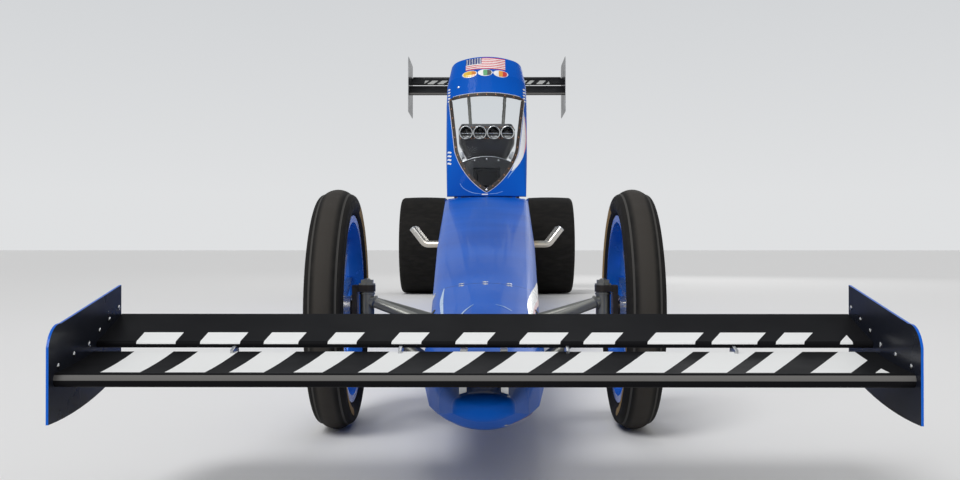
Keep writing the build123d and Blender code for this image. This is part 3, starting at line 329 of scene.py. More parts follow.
def paintFinish(name, striped):
    place = startFinish(name)
    x, y, z = axes(place)
    colour = blend(spread(noise(place, 1.6, 2.0), 0.35, 0.7), bodyPaint["blue"], bodyPaint["deepBlue"])
    if striped:
        # one long taper along each side, from the cockpit to the nose
        far = spread(y, frontAxle.y + 0.25, hingeY - 0.15)
        sway = (far * pi).calc("SINE") * bodyPaint["stripeSway"]
        off = abs(z - (spread(far, 0.0, 1.0, *bodyPaint["stripeZ"]) - sway))
        inside = spread(far, 0.0, 1.0, *bodyPaint["stripeHalf"]) - off
        ends = (far > 0.02) * (far + z * 0.35 < 1.16)
        for tone, edge in (("rose", -bodyPaint["roseWidth"]), ("white", 0.0)):
            shares = spread(inside, edge - 0.0005, edge + 0.0005, smooth=True) * ends
            colour = blend(shares, colour, bodyPaint[tone])
    flake = noise(place, bodyPaint["flake"], 1.0)
    endFinish(place, base=colour, rough=spread(flake, 0.3, 0.7, 0.34, 0.46), coat=0.08, coatRough=0.05,
              specular=0.08, ior=1.3, bump=(noise(place, 3.2, 1.0), 0.05, 0.01))


paintFinish("bodyPaint", True)
paintFinish("canopyPaint", False)


# Black wing skins with slanted white bars

wingBars = {
    "black": (0.006, 0.006, 0.007),
    "weave": (0.009, 0.009, 0.010),
    "white": (0.74, 0.75, 0.75),
    # a darker copy of the bars' white, standing in for painted shade on the rear flap
    "grey": (0.42, 0.43, 0.42),
    # the edge tone is a painted highlight along the wings' leading edges
    "edge": (0.13, 0.127, 0.123),
    "pitch": 0.098,
    "slant": 0.30,
    "fan": 0.50,
    "reach": 0.62,
}


def wingFinish(name, bars=None, fan=0.0, edge=None, white=wingBars["white"]):
    # bars between two heights, fanned out from a line in front, and a painted highlight: a paler band along
    # the leading edge
    place = startFinish(name)
    x, y, z = axes(place)
    weave = output(place.tree, "ShaderNodeTexChecker", {"Vector": place, "Scale": 420.0}, 1)
    colour = blend(weave, wingBars["black"], wingBars["weave"])
    if bars:
        lowZ, highZ, fanY = bars
        lean = x * fan + wingBars["slant"]
        run = (x - (y - fanY) * lean) / wingBars["pitch"]
        size = output(place.tree, "ShaderNodeTexWhiteNoise", {"W": run.calc("FLOOR")}, noise_dimensions="1D")
        bar = run.calc("FRACT") < spread(size, 0.0, 1.0, 0.44, 0.78)
        above = axes(output(place.tree, "ShaderNodeTexCoord", which="Normal"))[2] > 0.1
        mask = bar * ((z > lowZ) * (z < highZ)) * ((abs(x) < wingBars["reach"]) * above)
        colour = blend(mask, colour, white)
    if edge:
        # painted highlight: a paler band along the leading edge
        lowZ, highZ, rearY = edge
        colour = blend((z > lowZ) * (z < highZ) * (y < rearY), colour, wingBars["edge"])
    endFinish(place, base=colour, rough=spread(noise(place, 5.0), 0.3, 0.75, 0.42, 0.58), specular=0.06,
              ior=1.3)


planeLow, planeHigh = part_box("front_wing_plane")
flapLow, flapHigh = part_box("front_wing_flap")
rearPlaneLow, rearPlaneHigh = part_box("rear_wing_plane")
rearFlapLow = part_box("rear_wing_flap")[0]
wingFinish("frontPlane", (planeHigh.z - 0.017, planeHigh.z + 0.01, planeLow.y), wingBars["fan"],
           (0.2300, 0.2382, planeLow.y + 0.02))
wingFinish("frontFlap", (flapLow.z, flapHigh.z - 0.027, planeLow.y), wingBars["fan"])
# the rear plane's lower leading edge carries the same painted highlight
wingFinish("rearPlane", edge=(0.0, rearPlaneLow.z + 0.022, rearPlaneHigh.y))
# painted shade: the rear flap's white bars take the darker, shaded copy of white
wingFinish("rearFlap", (rearFlapLow.z + 0.006, rearFlapLow.z + 0.066, rearFlapLow.y), white=wingBars["grey"])


# Slick tyres

tyreLook = {
    "tread": (0.013, 0.0125, 0.012),
    "scuffed": (0.024, 0.0225, 0.021),
    "worn": (0.045, 0.041, 0.037),
    "wall": (0.016, 0.015, 0.015),
    # painted highlight: the thin pale line along each front shoulder
    "shoulder": (0.060, 0.058, 0.055),
    "arcs": (0.30, 0.20, 0.09),
    "arcHalf": 0.009,
    # radius where the tread ends, radius of the arcs, and the worn share of the half width
    "front": (0.250, 0.247, 0.42),
    "rear": (0.40, 0.325, 0.0),
}


def tyreFinish(name, centre, treadHalf, wallR, arcR, wornHalf):
    place = moved(startFinish(name), Location=-centre)
    x, radius, turn = polar(place)
    scuffs = noise(moved(place, Scale=(0.35, 1.0, 1.0)), 30.0, 5.0, 0.65)
    tread = blend(spread(scuffs, 0.4, 0.75), tyreLook["tread"], tyreLook["scuffed"])
    side = abs(x)
    if wornHalf:
        # the middle of a front tyre is worn paler, and a thin pale line on each shoulder is a painted
        # highlight
        tread = blend(spread(side, wornHalf + 0.006, wornHalf - 0.006, smooth=True), tread, tyreLook["worn"])
        tread = blend(abs(side - (treadHalf - 0.014)) < 0.0022, tread, tyreLook["shoulder"])
    onTread = spread(side, treadHalf, treadHalf - 0.012, smooth=True) * (radius > wallR)
    colour = blend(onTread, tyreLook["wall"], tread)
    # plain broken arcs, the only mark on the wall
    ring = (abs(radius - arcR) < tyreLook["arcHalf"]) * ((turn * 2.0).calc("SINE") > 0.45)
    colour = blend(ring * (side > treadHalf - 0.012), colour, tyreLook["arcs"])
    wallRings = (radius * 900.0).calc("SINE") * (1.0 - onTread)
    endFinish(place, base=colour, rough=spread(scuffs, 0.3, 0.7, 0.62, 0.86),
              bump=(scuffs * 1.2 + wallRings * 0.12, 0.35, 0.0012), specular=0.10, ior=1.35)


for hand in ("Left", "Right"):
    for end in ("front", "rear"):
        low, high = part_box(f"{end}_tyre_{hand.lower()}")
        half = (high.x - low.x) / 2
        wallR, arcR, wornShare = tyreLook[end]
        tyreFinish(f"{end}Tyre{hand}", (low + high) / 2, half - 0.001, wallR, arcR, half * wornShare)


# Front wheels: bright spokes and hub in a blue rim

spokeLook = {
    "silver": (0.74, 0.72, 0.66),
    "dusty": (0.60, 0.57, 0.50),
    "rimR": 0.2005,
}

for hand in ("Left", "Right"):
    place = moved(startFinish(f"frontWheel{hand}"), Location=-middleOf(f"front_wheel_{hand.lower()}"))
    onRim = polar(place)[1] > spokeLook["rimR"]
    dust = spread(noise(place, 22.0, 4.0), 0.35, 0.75)
    silver = blend(dust, spokeLook["silver"], spokeLook["dusty"])
    endFinish(place, base=blend(onRim, silver, bodyPaint["blue"]), metallic=1.0 - onRim * 0.7,
              rough=spread(dust, 0.0, 1.0, 0.18, 0.32), bump=(noise(place, 380.0, 2.0), 0.04, 0.0005))


# Exhaust pipes, straw and violet near the heads and grey at the tips

# share of the way out to the tip, and tone
heatTones = {
    0.0: (0.36, 0.24, 0.30), 0.12: (0.26, 0.27, 0.42), 0.26: (0.62, 0.46, 0.26), 0.5: (0.66, 0.60, 0.50),
    0.9: (0.60, 0.58, 0.55),
}
place = startFinish("headerChrome")
haze = noise(place, 14.0)
heat = spread(abs(axes(place)[0]), 0.26, 0.62) + (haze - 0.5) * 0.25
ramp = addNode(place.tree, "ShaderNodeValToRGB", {0: heat})
stops = ramp.color_ramp.elements
stops.remove(stops[1])
for share, tone in heatTones.items():
    stop = stops.new(share) if share else stops[0]
    stop.color = (*tone, 1)
endFinish(place, base=Value(place.tree, ramp.outputs[0]), metallic=1.0,
          rough=spread(haze, 0.3, 0.7, 0.12, 0.26))


# Clear screen, woven seat shell, cloth and strap

place = startFinish("clearScreen")
endFinish(place, base=(0.90, 0.93, 0.95), rough=spread(noise(place, 4.0), 0.35, 0.8, 0.01, 0.05),
          transmission=1.0, ior=1.12)

# dark and light tone, threads, coat and roughness
wovenFinishes = {
    "seatCarbon": ((0.012, 0.012, 0.013), (0.05, 0.05, 0.053), 260.0, 0.5, 0.3),
    "padCloth": ((0.008, 0.008, 0.009), (0.022, 0.022, 0.024), 520.0, 0.0, 0.75),
    "strapWeb": ((0.010, 0.022, 0.080), (0.018, 0.040, 0.125), 620.0, 0.0, 0.6),
    "packCloth": ((0.010, 0.012, 0.018), (0.030, 0.034, 0.044), 420.0, 0.0, 0.8),
}
for name, (dark, light, threads, coat, rough) in wovenFinishes.items():
    place = startFinish(name)
    ways = (place, moved(place, Rotation=(0, pi / 2, pi / 2)))
    warp, weft = (output(place.tree, "ShaderNodeTexWave", {"Vector": way, "Scale": threads, "Distortion": 0.4},
                         which=1, bands_direction="DIAGONAL") for way in ways)
    weave = warp.calc("MAXIMUM", weft)
    endFinish(place, base=blend(weave, dark, light), coat=coat, coatRough=0.1, bump=(weave, 0.25, 0.0006),
              rough=spread(noise(place, 9.0), 0.3, 0.7, rough, rough + 0.12))

# wing endplates: one tone on the faces and another round the rim
plateTones = {
    "frontPlate": ((0.010, 0.012, 0.020), bodyPaint["blue"]),
    "rearPlate": ((0.012, 0.013, 0.016), (0.46, 0.47, 0.49)),
}
for name, (inner, edge) in plateTones.items():
    place = startFinish(name)
    face = abs(axes(output(place.tree, "ShaderNodeTexCoord", which="Normal"))[0]) > 0.5
    cloud = spread(noise(place, 7.0), 0.3, 0.7)
    inside = blend(cloud, inner, [v * 0.8 for v in inner])
    endFinish(place, base=blend(face, edge, inside), rough=spread(cloud, 0.0, 1.0, 0.22, 0.36), specular=0.15,
              coat=0.10, coatRough=0.1)

nodeFinishes = {
    "bareSteel": ("frame_rails", "roll_cage", "front_arms", "tie_rod", "rear_wing_struts", "wheelie_bar"),
    "bodyPaint": ("nose_cone", "upper_body", "lower_body", "cockpit_body"),
    "canopyPaint": ("canopy_shell",),
    "clearScreen": ("windshield",),
    "seatCarbon": ("seat",),
    "blackComposite": ("head_surround", "steering_wheel", "injector_hat"),
    "frontPlane": ("front_wing_plane",),
    "frontFlap": ("front_wing_flap",),
    "rearPlane": ("rear_wing_plane",),
    "rearFlap": ("rear_wing_flap",),
    "frontPlate": ("front_wing_endplates",),
    "rearPlate": ("rear_wing_endplates",),
    "machinedAluminium": ("front_wing_posts", "rear_axle_housing", "engine_block", "cylinder_heads",
                          "motor_plates"),
    "darkSteel": ("knuckle_left", "knuckle_right", "rear_axle_shaft"),
    "brightAluminium": ("rear_wheels",),
    "coverAlloy": ("valve_covers",),
    "castMagnesium": ("supercharger",),
    "beltRubber": ("blower_drive",),
    "headerChrome": ("exhaust_headers_left", "exhaust_headers_right"),
    "canTitanium": ("clutch_can",),
    "packCloth": ("parachute_packs",),
    "hardRubber": ("wheelie_wheels",),
}
for hand in ("Left", "Right"):
    for kind, node in (("frontTyre", "front_tyre"), ("rearTyre", "rear_tyre"), ("frontWheel", "front_wheel")):
        nodeFinishes[kind + hand] = (f"{node}_{hand.lower()}",)

for finish, names in nodeFinishes.items():
    for name in names:
        nodes[name].data.materials.clear()
        nodes[name].data.materials.append(finishes[finish])

print("finishes on every piece of the frame")


# Small helpers for pieces


def addPiece(name, shape, finish, body="chassis", sharp=35.0, replaces=()):
    # shape is a bmesh, or the curve of a pipe
    if isinstance(shape, bmesh.types.BMesh):
        bmesh.ops.recalc_face_normals(shape, faces=shape.faces)
        data = bpy.data.meshes.new(name)
        shape.to_mesh(data)
        shape.free()
        data.shade_smooth()
        data.set_sharp_from_angle(angle=radians(sharp))
    else:
        data = shape
    data.materials.append(finishes[finish])
    piece = addObject(name, data)
    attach(piece, body)
    if replaces:
        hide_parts(*replaces)
    return piece


def pipes(name, routes, radius, finish):
    curve = bpy.data.curves.new(name, "CURVE")
    curve.dimensions = "3D"
    curve.bevel_depth = radius
    curve.bevel_resolution = 3
    curve.resolution_u = 10
    curve.use_fill_caps = True
    for route in routes:
        line = curve.splines.new("BEZIER")
        line.bezier_points.add(len(route) - 1)
        for knot, point in zip(line.bezier_points, route):
            knot.co = point
            knot.handle_left_type = knot.handle_right_type = "AUTO"
    addPiece(name, curve, finish)


def linked(verts, kind):
    # what joins to these vertices, each once and in the same order in every run
    return list(dict.fromkeys(item for vert in verts for item in getattr(vert, kind)))


def aimed(direction):
    return Vector(direction).to_track_quat("Z", "Y").to_matrix().to_4x4()


def bar(bm, start, end, radius, segments=20, endRadius=None):
    run = end - start
    bmesh.ops.create_cone(bm, cap_ends=True, segments=segments, radius1=radius, depth=run.length,
                          radius2=radius if endRadius is None else endRadius,
                          matrix=Matrix.Translation((start + end) / 2) @ aimed(run))


def stub(bm, start, run, radius, segments=6, endRadius=None):
    bar(bm, start, start + run, radius, segments, endRadius)


def slab(bm, centre, size, soften, turn=(0, 0, 0), steps=2):
    place = Matrix.Translation(centre)
    for axis, angle in zip("XYZ", turn):
        place = place @ Matrix.Rotation(radians(angle), 4, axis)
    made = bmesh.ops.create_cube(bm, size=1.0, matrix=place @ Matrix.Diagonal((*size, 1)))
    bmesh.ops.bevel(bm, geom=linked(made["verts"], "link_edges"), offset=soften, segments=steps, profile=0.5,
                    affect="EDGES", material=-1)


def lathe(bm, profile, centre, axis, segments=32, closed=False):
    # profile rows are radius and distance along the axis
    turn = Matrix.Translation(centre) @ aimed(axis)
    verts = [bm.verts.new(turn @ Vector((radius, 0, along))) for radius, along in profile]
    pairs = list(zip(verts, verts[1:])) + ([(verts[-1], verts[0])] if closed else [])
    edges = [bm.edges.new(pair) for pair in pairs]
    bmesh.ops.spin(bm, geom=verts + edges, cent=centre, axis=Vector(axis).normalized(), dvec=(0, 0, 0),
                   angle=tau, steps=segments, use_merge=True, use_duplicate=False)


def dome(bm, place, normal, radius, height, segments=14):
    shares = ((0.0, 1.0), (0.45, 0.93), (0.8, 0.62), (1.0, 0.2), (1.0, -0.6))
    lathe(bm, [(radius * out, height * up) for out, up in shares], place, normal, segments)


def bolt(bm, place, normal, radius, height):
    # a washer and a six-sided head
    normal = Vector(normal).normalized()
    bar(bm, place - normal * height * 0.2, place + normal * height * 0.22, radius * 1.35, 16)
    bar(bm, place + normal * height * 0.2, place + normal * height * 0.85, radius, 6)
    bar(bm, place + normal * height * 0.85, place + normal * height, radius * 0.94, 6, radius * 0.72)


def around(centre, axis, radius, count, first=0.0):
    # places spaced evenly on a circle about X, Y or Z
    for number in range(count):
        turn = tau * (number + first) / count
        yield centre + Vector({"X": (0, sin(turn), cos(turn)), "Y": (sin(turn), 0, cos(turn)),
                               "Z": (sin(turn), cos(turn), 0)}[axis]) * radius


def boltRing(bm, centre, axis, ring, count, normal, radius, height, first=0.0):
    for place in around(centre, axis, ring, count, first):
        bolt(bm, place, normal, radius, height)


def surfaceOf(*meshes):
    bm = bmesh.new()
    for mesh in meshes:
        bm.from_mesh(mesh)
    tree = BVHTree.FromBMesh(bm)
    bm.free()
    return tree


def skinOf(*names):
    return surfaceOf(*(nodes[name].data for name in names))


def drop(tree, start, direction, lift=0.0):
    # the point and outward normal where a line from start first meets a surface
    place, normal, index, far = tree.ray_cast(start, direction)
    if place is None:
        return None, None
    if normal.dot(direction) > 0:
        normal = -normal
    return place + normal * lift, normal


def smoothRow(rows, share):
    # a smooth value between rows that are evenly spaced
    place = min(max(share, 0.0), 1.0) * (len(rows) - 1)
    step = min(int(place), len(rows) - 2)
    part = place - step
    before, first, last, after = (Vector(rows[min(max(step + k, 0), len(rows) - 1)]) for k in (-1, 0, 1, 2))
    return 0.5 * (2 * first + (last - before) * part + (2 * before - 5 * first + 4 * last - after) * part ** 2
                  + (3 * first - before - 3 * last + after) * part ** 3)


def patch(bm, tree, place, aim, columns, rows, lift, thick):
    # a thin film laid on a surface: place turns u and v, 0 to 1, into the start of a ray
    verts = bmesh.ops.create_grid(bm, x_segments=columns, y_segments=rows, size=0.5)["verts"]
    uvLayer = bm.loops.layers.uv.verify()
    faces = linked(verts, "link_faces")
    for face in faces:
        for loop in face.loops:
            loop[uvLayer].uv = (loop.vert.co.x + 0.5, loop.vert.co.y + 0.5)
    missed, normals = [], {}
    for vert in verts:
        share = (vert.co.x + 0.5, vert.co.y + 0.5)
        landed, normal = drop(tree, place(*share), aim(*share) if callable(aim) else aim, lift)
        if landed is None:
            missed.append(vert)
        else:
            vert.co = landed
            normals[vert] = normal
    bmesh.ops.delete(bm, geom=missed, context="VERTS")
    faces = [face for face in faces if face.is_valid]
    bmesh.ops.recalc_face_normals(bm, faces=faces)
    if faces and faces[0].normal.dot(normals[faces[0].verts[0]]) < 0:
        bmesh.ops.reverse_faces(bm, faces=faces)
    bmesh.ops.solidify(bm, geom=faces, thickness=thick)


def band(bm, tree, rows, aim, flat, steps, lift, columns=3):
    # a stripe along a smooth route: each row is a point on its middle line and the half width there
    def place(u, v):
        row = smoothRow(rows, v)
        ahead = smoothRow(rows, v + 0.01) - smoothRow(rows, v - 0.01)
        aside = Vector((ahead[1], -ahead[0])).normalized()
        offset = (u - 0.5) * 2 * row[2]
        return flat(row[0] + aside.x * offset, row[1] + aside.y * offset)
    patch(bm, tree, place, aim, columns, steps, lift, 0.0004)


# Canopy trim, laid out with the canopy closed and carried to where it stands open

screenShape = {
    "front": 4.884,          # station of the canopy's front edge
    "tip": 0.032,
    "bow": (0.140, 0.152),
    "waist": (0.213, 0.300),
    "rear": (0.256, 0.650),
    "rearBow": 0.642,
    "frameOut": 0.011,
    "frameIn": 0.012,
    "frameHigh": 0.0035,
    "fastenerGap": 0.046,
    "lineWide": 0.0032,
    "lineHigh": 0.0012,
    "edgeSlope": 0.0012,
    "edgeHigh": 0.0004,
    "shoulder": 0.7,         # share of the ring's height beside its crown
}

openTurn = (Matrix.Translation((0, hingeY, hingeZ)) @ Matrix.Rotation(canopyTilt, 4, "X")
            @ Matrix.Translation((0, -hingeY, -hingeZ)))
canopyDown = openTurn.to_3x3() @ downward
canopySkin = skinOf("canopy_shell", "windshield")


def overCanopy(x, back):
    # high above the closed canopy, at a distance behind its front edge
    return openTurn @ spot(x, screenShape["front"] + back, 1.9)


def arcThrough(first, middle, last, count):
    first, middle, last = Vector(first), Vector(middle), Vector(last)
    a, b = middle - first, last - first
    cross = 2 * (a.x * b.y - a.y * b.x)
    centre = first + Vector((b.y * a.length_squared - a.y * b.length_squared,
                             a.x * b.length_squared - b.x * a.length_squared)) / cross
    start = atan2(first.y - centre.y, first.x - centre.x)
    sweep = atan2(last.y - centre.y, last.x - centre.x) - start
    sweep = (sweep + pi) % tau - pi
    radius = (first - centre).length
    return [centre + radius * Vector((cos(start + sweep * n / count), sin(start + sweep * n / count)))
            for n in range(count + 1)]


def screenOutline():
    side = arcThrough((0, screenShape["tip"]), screenShape["bow"], screenShape["waist"], 20)
    waist, rear = Vector(screenShape["waist"]), Vector(screenShape["rear"])
    side += [waist.lerp(rear, n / 16) for n in range(1, 17)]
    back = arcThrough(rear, (0, screenShape["rearBow"]), (-rear.x, rear.y), 24)[1:-1]
    return side + back + [Vector((-p.x, p.y)) for p in reversed(side[1:])]


def widened(outline, offset):
    following = outline[1:] + outline[:1]
    runs = [(after - outline[n - 1]).normalized() for n, after in enumerate(following)]
    return [point + Vector((run.y, -run.x)) * offset for point, run in zip(outline, runs)]


def loopOn(bm, outline, lift):
    made = bmesh.ops.create_circle(bm, cap_ends=False, segments=len(outline), radius=1.0)
    for vert, point in zip(made["verts"], outline):
        vert.co = drop(canopySkin, overCanopy(point.x, point.y), canopyDown, lift)[0]
    return linked(made["verts"], "link_edges")


def crownedRing(name, outIn, outOut, high, finish):
    bm = bmesh.new()
    slope, low = screenShape["edgeSlope"], screenShape["edgeHigh"]
    shoulder = high * screenShape["shoulder"]
    rows = ((outOut, low), (outOut - slope, shoulder), ((outIn + outOut) / 2, high),
            (outIn + slope, shoulder), (outIn, low))
    loops = [loopOn(bm, widened(outline, offset), lift) for offset, lift in rows]
    for first, last in zip(loops, loops[1:] + loops[:1]):
        bmesh.ops.bridge_loops(bm, edges=first + last)
    addPiece(name, bm, finish, "canopy")


def canopyDome(bm, x, back, lift, *size):
    place, normal = drop(canopySkin, overCanopy(x, back), canopyDown, lift)
    dome(bm, place, normal, *size)


outline = screenOutline()
frameOut, frameHigh = screenShape["frameOut"], screenShape["frameHigh"]
crownedRing("screenFrame", -screenShape["frameIn"], frameOut, frameHigh, "sealBrown")
crownedRing("screenOuterLine", frameOut, frameOut + screenShape["lineWide"], screenShape["lineHigh"],
            "whiteFilm")

fasteners = bmesh.new()
walked = 0.0
for before, point in zip(outline, outline[1:]):
    walked += (point - before).length
    if walked > screenShape["fastenerGap"]:
        walked = 0.0
        canopyDome(fasteners, point.x, point.y, frameHigh - 0.0006, 0.0052, 0.0022)
addPiece("screenFasteners", fasteners, "copperBolt", "canopy")

tipButton = bmesh.new()
canopyDome(tipButton, 0, screenShape["tip"] + 0.004, frameHigh, 0.0085, 0.0035, 20)
canopyDome(tipButton, -0.200, 0.720, 0.0002, 0.0080, 0.0024, 20)
addPiece("canopyButtons", tipButton, "brightAluminium", "canopy")

print("windshield frame done")


# Roof flag, three plain ovals, side stripes and a painted reflection arc on the canopy

roofMarks = {
    "flag": {"x": -0.008, "back": (0.838, 0.950), "half": 0.140, "bars": 13, "canton": (0.4, 0.4615),
             "pale": (0.78, 0.78, 0.78), "red": (0.55, 0.02, 0.03), "blue": (0.012, 0.03, 0.16)},
    # x, distance behind the canopy's front edge and the tones of three fields
    "ovals": (
        (-0.120, 0.800, (0.72, 0.46, 0.04), (0.70, 0.40, 0.03), (0.60, 0.20, 0.02)),
        (-0.010, 0.803, (0.74, 0.74, 0.74), (0.05, 0.30, 0.10), (0.02, 0.02, 0.02)),
        (0.100, 0.800, (0.74, 0.74, 0.74), (0.72, 0.30, 0.03), (0.55, 0.03, 0.03)),
    ),
    "ovalHalf": (0.053, 0.030),
}
flag = roofMarks["flag"]

# bars and a canton with rows of dots, painted by the patch's own UV
place = startFinish("flag", "UV")
u, v, w = axes(place)
colour = blend((v * (flag["bars"] / 2)).calc("FRACT") < 0.5, flag["pale"], flag["red"])
canton = (u < flag["canton"][0]) * (v > flag["canton"][1])
colour = blend(canton, colour, flag["blue"])
du, dv = (u * 15.0).calc("FRACT") - 0.5, ((v - flag["canton"][1]) * 9.3).calc("FRACT") - 0.5
colour = blend((du * du + dv * dv < 0.06) * canton, colour, (0.8, 0.8, 0.8))
endFinish(place, base=colour, coat=0.6, coatRough=0.05,
          rough=spread(noise(place, 30.0), 0.3, 0.7, 0.24, 0.34))
flagBm = bmesh.new()
front, rear = flag["back"]
patch(flagBm, canopySkin,
      lambda u, v: overCanopy(flag["x"] + (u * 2 - 1) * flag["half"], front + v * (rear - front)),
      canopyDown, 18, 8, 0.0006, 0.0004)
addPiece("roofFlag", flagBm, "flag", "canopy")

for number, (ovalX, ovalBack, *tones) in enumerate(roofMarks["ovals"], 1):
    # three plain fields side by side inside an edge line
    place = startFinish(f"oval{number}", "UV")
    u, v, w = axes(place)
    colour = blend(u > 0.64, blend(u > 0.36, tones[0], tones[1]), tones[2])
    far = abs((u - 0.5) * 2.0).calc("MAXIMUM", abs((v - 0.5) * 2.0))
    colour = blend(far > 0.86, colour, (0.72, 0.72, 0.72))
    endFinish(place, base=colour, coat=0.6, coatRough=0.05,
              rough=spread(noise(place, 20.0), 0.3, 0.7, 0.24, 0.34))

    def ovalPlace(u, v):
        a, b = u * 2 - 1, v * 2 - 1
        halfX, halfBack = roofMarks["ovalHalf"]
        return overCanopy(ovalX + a * sqrt(1 - b * b / 2) * halfX,
                          ovalBack + b * sqrt(1 - a * a / 2) * halfBack)

    ovalBm = bmesh.new()
    patch(ovalBm, canopySkin, ovalPlace, canopyDown, 12, 12, 0.0006, 0.0004)
    addPiece(f"roofOval{number}", ovalBm, f"oval{number}", "canopy")

# x, distance behind the canopy's front edge, half width
canopyStripes = {
    "White": [
        ((0.262, 0.575, 0.0008), (0.2625, 0.542, 0.0032), (0.2625, 0.463, 0.0122), (0.2597, 0.401, 0.0165),
         (0.2530, 0.339, 0.0178), (0.2408, 0.276, 0.0170), (0.2205, 0.229, 0.0155), (0.1965, 0.190, 0.0110),
         (0.174, 0.160, 0.0020)),
        # painted reflection: this short white bar at the front edge is the bright middle of a reflected strip
        # of light
        ((-0.034, 0.0085, 0.0034), (-0.012, 0.0085, 0.0034), (0.010, 0.0085, 0.0034)),
    ],
    "Rose": [
        ((0.2690, 0.545, 0.0010), (0.2752, 0.463, 0.0026), (0.2770, 0.401, 0.0030), (0.2725, 0.345, 0.0030),
         (0.2620, 0.292, 0.0010)),
    ],
    "Sky": [
        # painted reflection: the first two light-blue rows are thin arcs along the front edge, either side of
        # the white bar, standing in for a reflected strip of light
        ((-0.186, 0.080, 0.0009), (-0.158, 0.046, 0.0013), (-0.100, 0.020, 0.0013), (-0.040, 0.0115, 0.0009)),
        ((0.020, 0.0115, 0.0009), (0.070, 0.015, 0.0011), (0.112, 0.028, 0.0009)),
        ((0.148, 0.112, 0.0010), (0.166, 0.138, 0.0022), (0.190, 0.166, 0.0022), (0.212, 0.192, 0.0010)),
    ],
}
for side in (1, -1):
    for number in range(5):
        back = 0.640 + number * 0.022
        canopyStripes["White"].append(((side * 0.258, back, 0.0040), (side * 0.2665, back + 0.008, 0.0040),
                                       (side * 0.2735, back + 0.015, 0.0034)))
for number in range(4):
    back = 0.212 + number * 0.026
    canopyStripes["White"].append(((-0.2480, back, 0.0052), (-0.2620, back + 0.010, 0.0052),
                                   (-0.2740, back + 0.018, 0.0040)))
for tone, routes in canopyStripes.items():
    canopyFilmBm = bmesh.new()
    lift = 0.0017 if tone == "Rose" else 0.0011
    for rows in routes:
        steps, columns = (48, 10) if len(rows) > 3 else (6, 3)
        band(canopyFilmBm, canopySkin, rows, canopyDown, overCanopy, steps, lift, columns)
    addPiece("canopyStripes" + tone, canopyFilmBm, tone.lower() + "Film", "canopy")

print("canopy marks done")


# Seam lines and quarter-turn fasteners on the body

bodyTrim = {
    "seam": ((0.352, 0.178), (4.858, 0.330)),   # station and height, level from there on
    "seamEnd": 6.048,
    "seamHalf": 0.0013,
    "joints": (0.350, 4.862),
    "buttonR": 0.0085,
    "buttonPitch": 0.40,
    "buttonOff": 0.021,
    "noseRound": 0.034,
    "noseSteps": 7,
}
bodySkin = skinOf("nose_cone", "upper_body", "lower_body", "cockpit_body")


def seamZ(station):
    low, cowl = bodyTrim["seam"]
    share = min(max((station - low[0]) / (cowl[0] - low[0]), 0.0), 1.0)
    return low[1] + (cowl[1] - low[1]) * share


def aroundBody(station, turn):
    # a far point round the body and the way in
    out = Vector((sin(turn), 0, cos(turn)))
    middle = spot(0, station, 0.20 + 0.045 * max(station, 0))
    return middle + out * 0.9, -out


# the flat end of the nose is rounded off with its own outline, drawn forward and in
capBm = bmesh.new()
capBm.from_mesh(nodes["nose_cone"].data)
bmesh.ops.remove_doubles(capBm, verts=capBm.verts, dist=1e-5)
foremost = min(vert.co.y for vert in capBm.verts)
flats = [face for face in capBm.faces
         if face.normal.y < -0.99 and face.calc_center_median().y < foremost + 0.001]
bmesh.ops.delete(capBm, geom=[face for face in capBm.faces if face not in flats], context="FACES")
region = list(capBm.faces)
centre = sum((vert.co for vert in capBm.verts), Vector()) / len(capBm.verts)
turn = 0.0
for step in range(bodyTrim["noseSteps"]):
    ahead = (step + 1) / bodyTrim["noseSteps"] * radians(86)
    shrink = cos(ahead) / cos(turn)
    push = (sin(ahead) - sin(turn)) * bodyTrim["noseRound"]
    made = bmesh.ops.extrude_face_region(capBm, geom=region)["geom"]
    bmesh.ops.delete(capBm, geom=region, context="FACES_ONLY")
    region = [part for part in made if isinstance(part, bmesh.types.BMFace)]
    shifted = [part for part in made if isinstance(part, bmesh.types.BMVert)]
    bmesh.ops.translate(capBm, verts=shifted, vec=(0, -push, 0))
    bmesh.ops.scale(capBm, verts=shifted, vec=(shrink, 1, shrink), space=Matrix.Translation(-centre))
    turn = ahead
addPiece("noseRound", capBm, "bodyPaint", sharp=60.0)

seams = bmesh.new()
first, last = bodyTrim["seam"][0][0], bodyTrim["seamEnd"]
for side in (1, -1):
    def seamPlace(u, v):
        station = first + (last - first) * v
        return spot(side * 1.2, station, seamZ(station) + (u - 0.5) * 2 * bodyTrim["seamHalf"])
    patch(seams, bodySkin, seamPlace, across * -side, 1, 90, 0.0003, 0.0005)
for station in bodyTrim["joints"]:
    reach = tau * (0.5 if station > 1 else 1.0)
    patch(seams, bodySkin,
          lambda u, v: aroundBody(station + (u - 0.5) * 2 * bodyTrim["seamHalf"], (v - 0.5) * reach)[0],
          lambda u, v: aroundBody(station, (v - 0.5) * reach)[1], 1, 80, 0.0003, 0.0005)
addPiece("bodySeams", seams, "blackComposite")

buttons = bmesh.new()
noseJoint, cowlJoint = bodyTrim["joints"]
spots = []
for side in (1, -1):
    station = 0.52
    while station < 5.95:
        for off in (bodyTrim["buttonOff"], -bodyTrim["buttonOff"]):
            spots.append((spot(side * 1.2, station, seamZ(station) + off), across * -side))
        station += bodyTrim["buttonPitch"]
for off in (-bodyTrim["buttonOff"], bodyTrim["buttonOff"]):
    spots += [aroundBody(noseJoint + off, step * 0.52) for step in range(-3, 4)]
spots += [(spot(step * 0.058, cowlJoint - 0.026, 1.5), downward) for step in range(-4, 5)]
for start, aim in spots:
    place, normal = drop(bodySkin, start, aim, 0.0002)
    if place:
        dome(buttons, place, normal, bodyTrim["buttonR"], 0.0016, 12)
addPiece("bodyFasteners", buttons, "brightAluminium")

